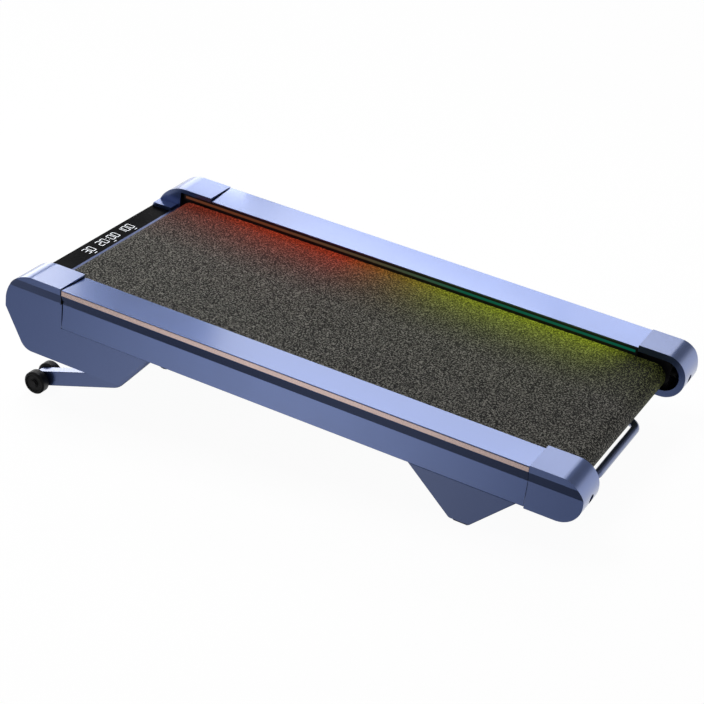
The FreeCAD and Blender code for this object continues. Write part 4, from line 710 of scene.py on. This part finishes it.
class PAD_OT_display(PadOperator, bpy.types.Operator):
    """Shapes the display's glass and its lit seven-stroke digits"""
    bl_idname = "pad.display"
    bl_label = "Display"

    def stroke(self, length):
        """One stroke with pointed ends, lying along y at the origin."""
        half = sizes().stroke / 2
        reach = length / 2 - half
        bar = block("stroke", (-half, -reach, 0.0), (half, reach, sizes().print_height))
        for end in (-1, 1):
            with editing_faces(bar, lambda normal: normal.y * end > FACING):
                point = {"value": (0.0, end * half * POINT_LENGTH, 0.0)}
                bpy.ops.mesh.extrude_region_move(TRANSFORM_OT_translate=point)
                bpy.ops.transform.resize(value=(POINT_WIDTH, 1.0, 1.0), center_override=(0.0, 0.0, 0.0))
        return bar

    def copy_to(self, bar, place, upright=False):
        twin = bpy.data.objects.new("stroke", bar.data.copy())
        bpy.context.scene.collection.objects.link(twin)
        turn = Matrix.Rotation(math.pi / 2, 4, "Z") if upright else Matrix.Identity(4)
        twin.data.transform(Matrix.Translation(place) @ turn)
        return twin

    def reading(self, text, centre, dash_shift, patterns, origin):
        """Strokes of one reading and of the dash under it, on the glass at the origin's x and z."""
        width, height, pitch = sizes().digit_width, sizes().digit_height, sizes().digit_pitch
        steps = [COLON_STEP if mark == ":" else 1.0 for mark in text]
        cursor = centre - pitch * sum(steps) / 2
        strokes = []
        for mark, step in zip(text, steps):
            y = cursor + pitch * step / 2
            cursor += pitch * step
            if mark == ":":
                for offset in (-COLON_RISE, COLON_RISE):
                    strokes.append(self.copy_to(patterns["dot"], (origin.x + offset * height, y, origin.z)))
                continue
            for key in LIT[mark]:
                across, up, lying = SEGMENTS[key]
                place = (origin.x - up * height / 2, y + across * width / 2, origin.z)
                strokes.append(self.copy_to(patterns["flat" if lying else "tall"], place, not lying))
        dash_x = origin.x + height / 2 + sizes().dash_drop
        strokes.append(self.copy_to(patterns["dash"], (dash_x, centre + dash_shift, origin.z)))
        return strokes

    def build(self):
        low, high = on_deck("display_window")
        glass = strip("display_glass", low, high)
        fit_to_frame(glass, glass_finish(), "chassis", "display_glass", "display_window")
        origin = Vector(((low.x + high.x) / 2 - sizes().digit_lead, 0.0, high.z))
        lengths = {"flat": sizes().digit_width, "tall": sizes().digit_height / 2, "dot": sizes().dot_length,
                   "dash": sizes().dash_length}
        patterns = {name: self.stroke(length) for name, length in lengths.items()}
        strokes = []
        for text, centre, dash_shift in READINGS:
            strokes += self.reading(text, centre * MM, dash_shift * MM, patterns, origin)
        for pattern in patterns.values():
            bpy.data.objects.remove(pattern)
        digits = tip_into_place(join("display_digits", strokes))
        fit_to_frame(digits, digit_finish(), "chassis", "display_glass")


# Only the right light bar is lit
BAR_BRIGHTNESS = {"left": 0.0, "right": 0.9}


class PAD_OT_lights(PadOperator, bpy.types.Operator):
    """Shapes the light bars under the rails' inner edges"""
    bl_idname = "pad.lights"
    bl_label = "Light bars"

    def build(self):
        for name, side in SIDES.items():
            bar = block(f"light_lens_{name}", *on_deck(f"light_bar_{name}"))
            with editing_faces(bar, lambda normal: normal.y * side < -FACING):
                bpy.ops.mesh.bevel(offset=sizes().small_edge, segments=3, affect="EDGES")
            shade(bar)
            tip_into_place(bar)
            finish = lens_finish(f"light_lens_{name}", BAR_BRIGHTNESS[name])
            fit_to_frame(bar, finish, "chassis", "light_lens", f"light_bar_{name}")


class PAD_OT_lift(PadOperator, bpy.types.Operator):
    """Shapes the lift arms and the wheels with their ringed hubs"""
    bl_idname = "pad.lift"
    bl_label = "Lift arms and wheels"

    def build(self):
        paint = painted("arm_paint", 0.36, 0.18)
        for name in SIDES:
            arm = moulding(f"lift_arm_{name}", f"arm_plate_{name}", sizes().steel_edge)
            fit_to_frame(arm, paint, "lift_frame", "arm_steel", f"lift_arm_{name}")
            for place in ("outer", "inner"):
                node = f"lift_wheel_{name}_{place}"
                wheel = moulding(node, f"wheel_{name}_{place}_roller", sizes().small_edge)
                fit_to_frame(wheel, finish_for("wheel"), f"wheel_{name}_{place}", "wheel", node)


class PAD_OT_handle(PadOperator, bpy.types.Operator):
    """Shapes the bent-tube carrying handle"""
    bl_idname = "pad.handle"
    bl_label = "Handle"

    def build(self):
        paint = painted("handle_paint", 0.34, 0.20, 0.65)
        grip = moulding("rear_handle", "handle_tube", sizes().small_edge)
        fit_to_frame(grip, paint, "chassis", "handle_paint", "rear_handle")


# The inlet's three pins, in steps of their pitch across and up
PIN_PLACES = ((-1, -0.5), (1, -0.5), (0, 0.5))


class PAD_OT_mains(PadOperator, bpy.types.Operator):
    """Shapes the mains inlet's panel and pins, and the rocker with its two marks"""
    bl_idname = "pad.mains"
    bl_label = "Mains panel"

    def inlet_pins(self):
        low, high = on_deck("mains_panel")
        socket = Vector((high.x - sizes().inlet_wall, low.y + sizes().inlet_set, (low.z + high.z) / 2))
        half, pitch = sizes().pin_width / 2, sizes().pin_pitch
        pins = []
        for across, up in PIN_PLACES:
            foot = socket + Vector((0.0, across, up)) * pitch
            tip = foot - Vector((sizes().pin_length, half / 2, half))
            pin = block("pin", tip, foot + Vector((0.0, half / 2, half)))
            round_edges(pin, sizes().small_edge, 2)
            pins.append(pin)
        return tip_into_place(join("inlet_pins", pins))

    def ring(self):
        """The off mark: a flat ring raised from the rocker."""
        bpy.ops.object.select_all(action="DESELECT")
        bpy.ops.mesh.primitive_circle_add(vertices=32, radius=sizes().mark_height / 2, fill_type="NGON")
        ring = bpy.context.object
        with editing(ring):
            bpy.ops.mesh.inset(thickness=sizes().mark_stroke)
            bpy.ops.mesh.delete(type="FACE")
        modify(ring, "SOLIDIFY", thickness=sizes().mark_relief * 2, offset=0.0)
        return ring

    def bar(self):
        """The on mark: a short upright stroke."""
        half, reach, relief = sizes().mark_stroke / 2, sizes().mark_height / 2, sizes().mark_relief
        bar = block("bar", (-reach, -half, -relief), (reach, half, relief))
        round_edges(bar, sizes().mark_stroke / 5, 2)
        return bar

    def rocker_marks(self):
        """The two marks, each in the middle of its half of the rocker's leaning face."""
        low, high = on_deck("switch_rocker")
        middle, quarter = (low + high) / 2, (high.z - low.z) / 4
        lean = quarter * math.tan(sizes().rocker_tilt)
        turn = Matrix.Rotation(sizes().rocker_tilt - math.pi / 2, 4, "Y")
        marks = [self.ring(), self.bar()]
        for mark, end in zip(marks, (1, -1)):
            place = Vector((low.x + 2 * lean + end * lean, middle.y, middle.z + end * quarter))
            mark.data.transform(Matrix.Translation(place) @ turn)
        return tip_into_place(join("rocker_marks", marks))

    def build(self):
        panel = moulding("mains_panel", "mains_tub", sizes().small_edge)
        fit_to_frame(panel, finish_for("black_trim"), "chassis", "black_trim", "mains_panel")
        fit_to_frame(self.inlet_pins(), finish_for("bright_steel"), "chassis", "bright_steel")
        rocker = moulding("switch_rocker", "rocker_cap", sizes().small_edge)
        fit_to_frame(rocker, finish_for("black_trim"), "switch", "black_trim", "switch_rocker")
        print_white = plain("mark_print", tuple(colours().marks), 0.5)
        fit_to_frame(self.rocker_marks(), print_white, "switch", "black_trim")


class PAD_OT_underside(PadOperator, bpy.types.Operator):
    """Gives every other node of the frame its finish"""
    bl_idname = "pad.underside"
    bl_label = "Frame, drive and underside"

    def build(self):
        for name, node in NODES.items():
            slot = DARK_FITTINGS.get(name, SLOT_OF[name])
            if slot in PLAIN_LOOKS or slot in BRUSHED_LOOKS:
                node.data.materials.clear()
                node.data.materials.append(finish_for(slot))


# The studio, in metres. Its near side is the pad's left, where the camera stands.

FLOOR_SIZE = 14.0

# Upright soft panels on the far side: name, x from and to, z from and to, radiance and y.
# Each one is there for the painted face that mirrors it.
PANELS = (
    ("rail_panel", (-3.06, 0.40), (2.90, 5.20), 1.55, 6.0),
    ("near_front_panel", (-4.70, -3.98), (3.20, 4.35), 1.9, 5.9),
    ("far_rail_panel", (-3.70, -1.20), (4.30, 5.20), 1.6, 5.8),
    ("far_front_panel", (-3.90, -3.02), (4.35, 5.20), 0.9, 6.0),
    ("near_nose_panel", (-5.40, -4.15), (4.40, 5.60), 4.4, 6.0),
    ("near_round_panel", (-8.00, -5.45), (0.60, 3.60), 2.0, 6.0),
    ("far_nose_panel", (-0.78, -0.54), (0.30, 0.50), 1.7, 0.6),
    ("cap_panel", (-1.05, -0.35), (3.30, 4.70), 0.5, 5.6),
)
CEILING_PLACE = (-0.8, 0.0, 2.0)
CEILING_SIZE = 1.2
CEILING_POWER = 11

# Brightness of the studio's walls, from straight down (0) to straight up (1). The near wall's light
# is a pool that lies this far towards the pad's front.
NEAR_WALL = ((0.0, 0.12), (0.14, 0.15), (0.24, 1.1), (0.50, 0.8), (1.0, 0.30))
FAR_WALL = ((0.0, 0.05), (0.20, 0.90), (0.60, 0.90), (0.68, 0.14), (1.0, 0.30))
POOL_LEAD = 0.44


class PAD_OT_stage(PadOperator, bpy.types.Operator):
    """Sets the pale floor, soft studio lights and camera"""
    bl_idname = "pad.stage"
    bl_label = "Stage"

    def floor(self):
        bpy.ops.object.select_all(action="DESELECT")
        bpy.ops.mesh.primitive_plane_add(size=FLOOR_SIZE, location=(0.0, 0.0, 0.0))
        floor = bpy.context.object
        floor.name = "studio_floor"
        with editing(floor):
            bpy.ops.mesh.subdivide(number_cuts=3)
        floor.data.materials.append(floor_finish())
        floor.visible_glossy = False
        floor.visible_diffuse = False
        return floor

    def lamp(self, name, power, place, width, height):
        """A rectangular soft light that faces down."""
        light = bpy.data.lights.new(name, "AREA")
        light.shape = "RECTANGLE"
        light.size, light.size_y = width, height
        light.energy = power
        lamp = bpy.data.objects.new(name, light)
        lamp.location = place
        bpy.context.scene.collection.objects.link(lamp)
        return lamp

    def panel(self, name, x, z, radiance, y):
        """An upright soft panel between two x and two z, facing the near side."""
        width, height = x[1] - x[0], z[1] - z[0]
        place = (sum(x) / 2, y, sum(z) / 2)
        panel = self.lamp(name, radiance * math.pi * width * height, place, width, height)
        panel.rotation_euler = (math.radians(-90), 0.0, 0.0)
        panel.visible_camera = False
        return panel

    def sky(self):
        """Studio walls: a low pool of light on the near side and a broad bright band on the far side."""
        world = bpy.data.worlds.new("studio")
        world.use_nodes = True
        background = world.node_tree.nodes["Background"]
        background.inputs["Color"].default_value = (1.0, 1.0, 1.0, 1.0)
        walls = Nodes(world.node_tree)
        way = walls.axes(walls.add("ShaderNodeTexCoord").outputs["Generated"])
        rise = walls.span(way["Z"], 0.0, 1.0, from_low=-1.0, from_high=1.0)
        nose_lift = walls.span(way["X"], 0.12, 0.0, from_low=-0.75, from_high=-0.50)
        near_light = walls.greys(walls.maths("ADD", rise, nose_lift), NEAR_WALL)
        far_light = walls.greys(rise, FAR_WALL)
        aside = walls.maths("ABSOLUTE", walls.maths("ADD", way["X"], POOL_LEAD))
        pool = walls.span(aside, 1.10, 0.20, from_low=0.0, from_high=0.14)
        far = walls.span(way["Y"], 0.0, 1.0, from_low=-0.2, from_high=0.35)
        near = walls.maths("SUBTRACT", 1.0, far)
        light = walls.maths("ADD", walls.product(near_light, near, pool), walls.product(far_light, far))
        walls.link(light, background.inputs["Strength"])
        return world

    def camera(self):
        view = bpy.context.scene.pad_camera
        lens = bpy.data.cameras.new("photo_camera")
        lens.lens = view.lens
        lens.sensor_width = view.sensor
        lens.sensor_fit = "HORIZONTAL"
        camera = bpy.data.objects.new("photo_camera", lens)
        level = math.cos(view.elevation)
        away = Vector((math.sin(view.azimuth) * level, -math.cos(view.azimuth) * level,
                       math.sin(view.elevation)))
        camera.location = Vector(view.aim) + away * view.distance
        turn = (-away).to_track_quat("-Z", "Y").to_matrix() @ Matrix.Rotation(view.roll, 3, "Z")
        camera.rotation_euler = turn.to_euler()
        bpy.context.scene.collection.objects.link(camera)
        return camera

    def build(self):
        scene = bpy.context.scene
        floor = self.floor()
        scene.world = self.sky()
        lamps = [self.panel(*panel) for panel in PANELS]
        lamps.append(self.lamp("ceiling_light", CEILING_POWER, CEILING_PLACE, CEILING_SIZE, CEILING_SIZE))
        scene.camera = self.camera()
        scene.view_settings.view_transform = "Standard"


PIECES = (PAD_OT_rails, PAD_OT_covers, PAD_OT_belt, PAD_OT_display, PAD_OT_lights, PAD_OT_lift,
          PAD_OT_handle, PAD_OT_mains, PAD_OT_underside, PAD_OT_stage)


class PAD_PT_dressing(bpy.types.Panel):
    """Lists the pad's pieces in the order they are built"""
    bl_idname = "PAD_PT_dressing"
    bl_label = "Walking Pad"
    bl_space_type = "VIEW_3D"
    bl_region_type = "UI"
    bl_category = "Walking Pad"

    def draw(self, context):
        for piece in PIECES:
            self.layout.operator(piece.bl_idname)


GROUPS = (("pad_sizes", PadSizes), ("pad_colours", PadColours), ("pad_camera", PadCamera))


def register():
    for name, group in GROUPS:
        bpy.utils.register_class(group)
        setattr(bpy.types.Scene, name, PointerProperty(type=group))
    for piece in PIECES:
        bpy.utils.register_class(piece)
    bpy.utils.register_class(PAD_PT_dressing)


def unregister():
    bpy.utils.unregister_class(PAD_PT_dressing)
    for piece in reversed(PIECES):
        bpy.utils.unregister_class(piece)
    for name, group in reversed(GROUPS):
        delattr(bpy.types.Scene, name)
        bpy.utils.unregister_class(group)


def main():
    register()
    for piece in PIECES:
        family, name = piece.bl_idname.split(".")
        getattr(getattr(bpy.ops, family), name)()


if __name__ == "__main__":
    main()
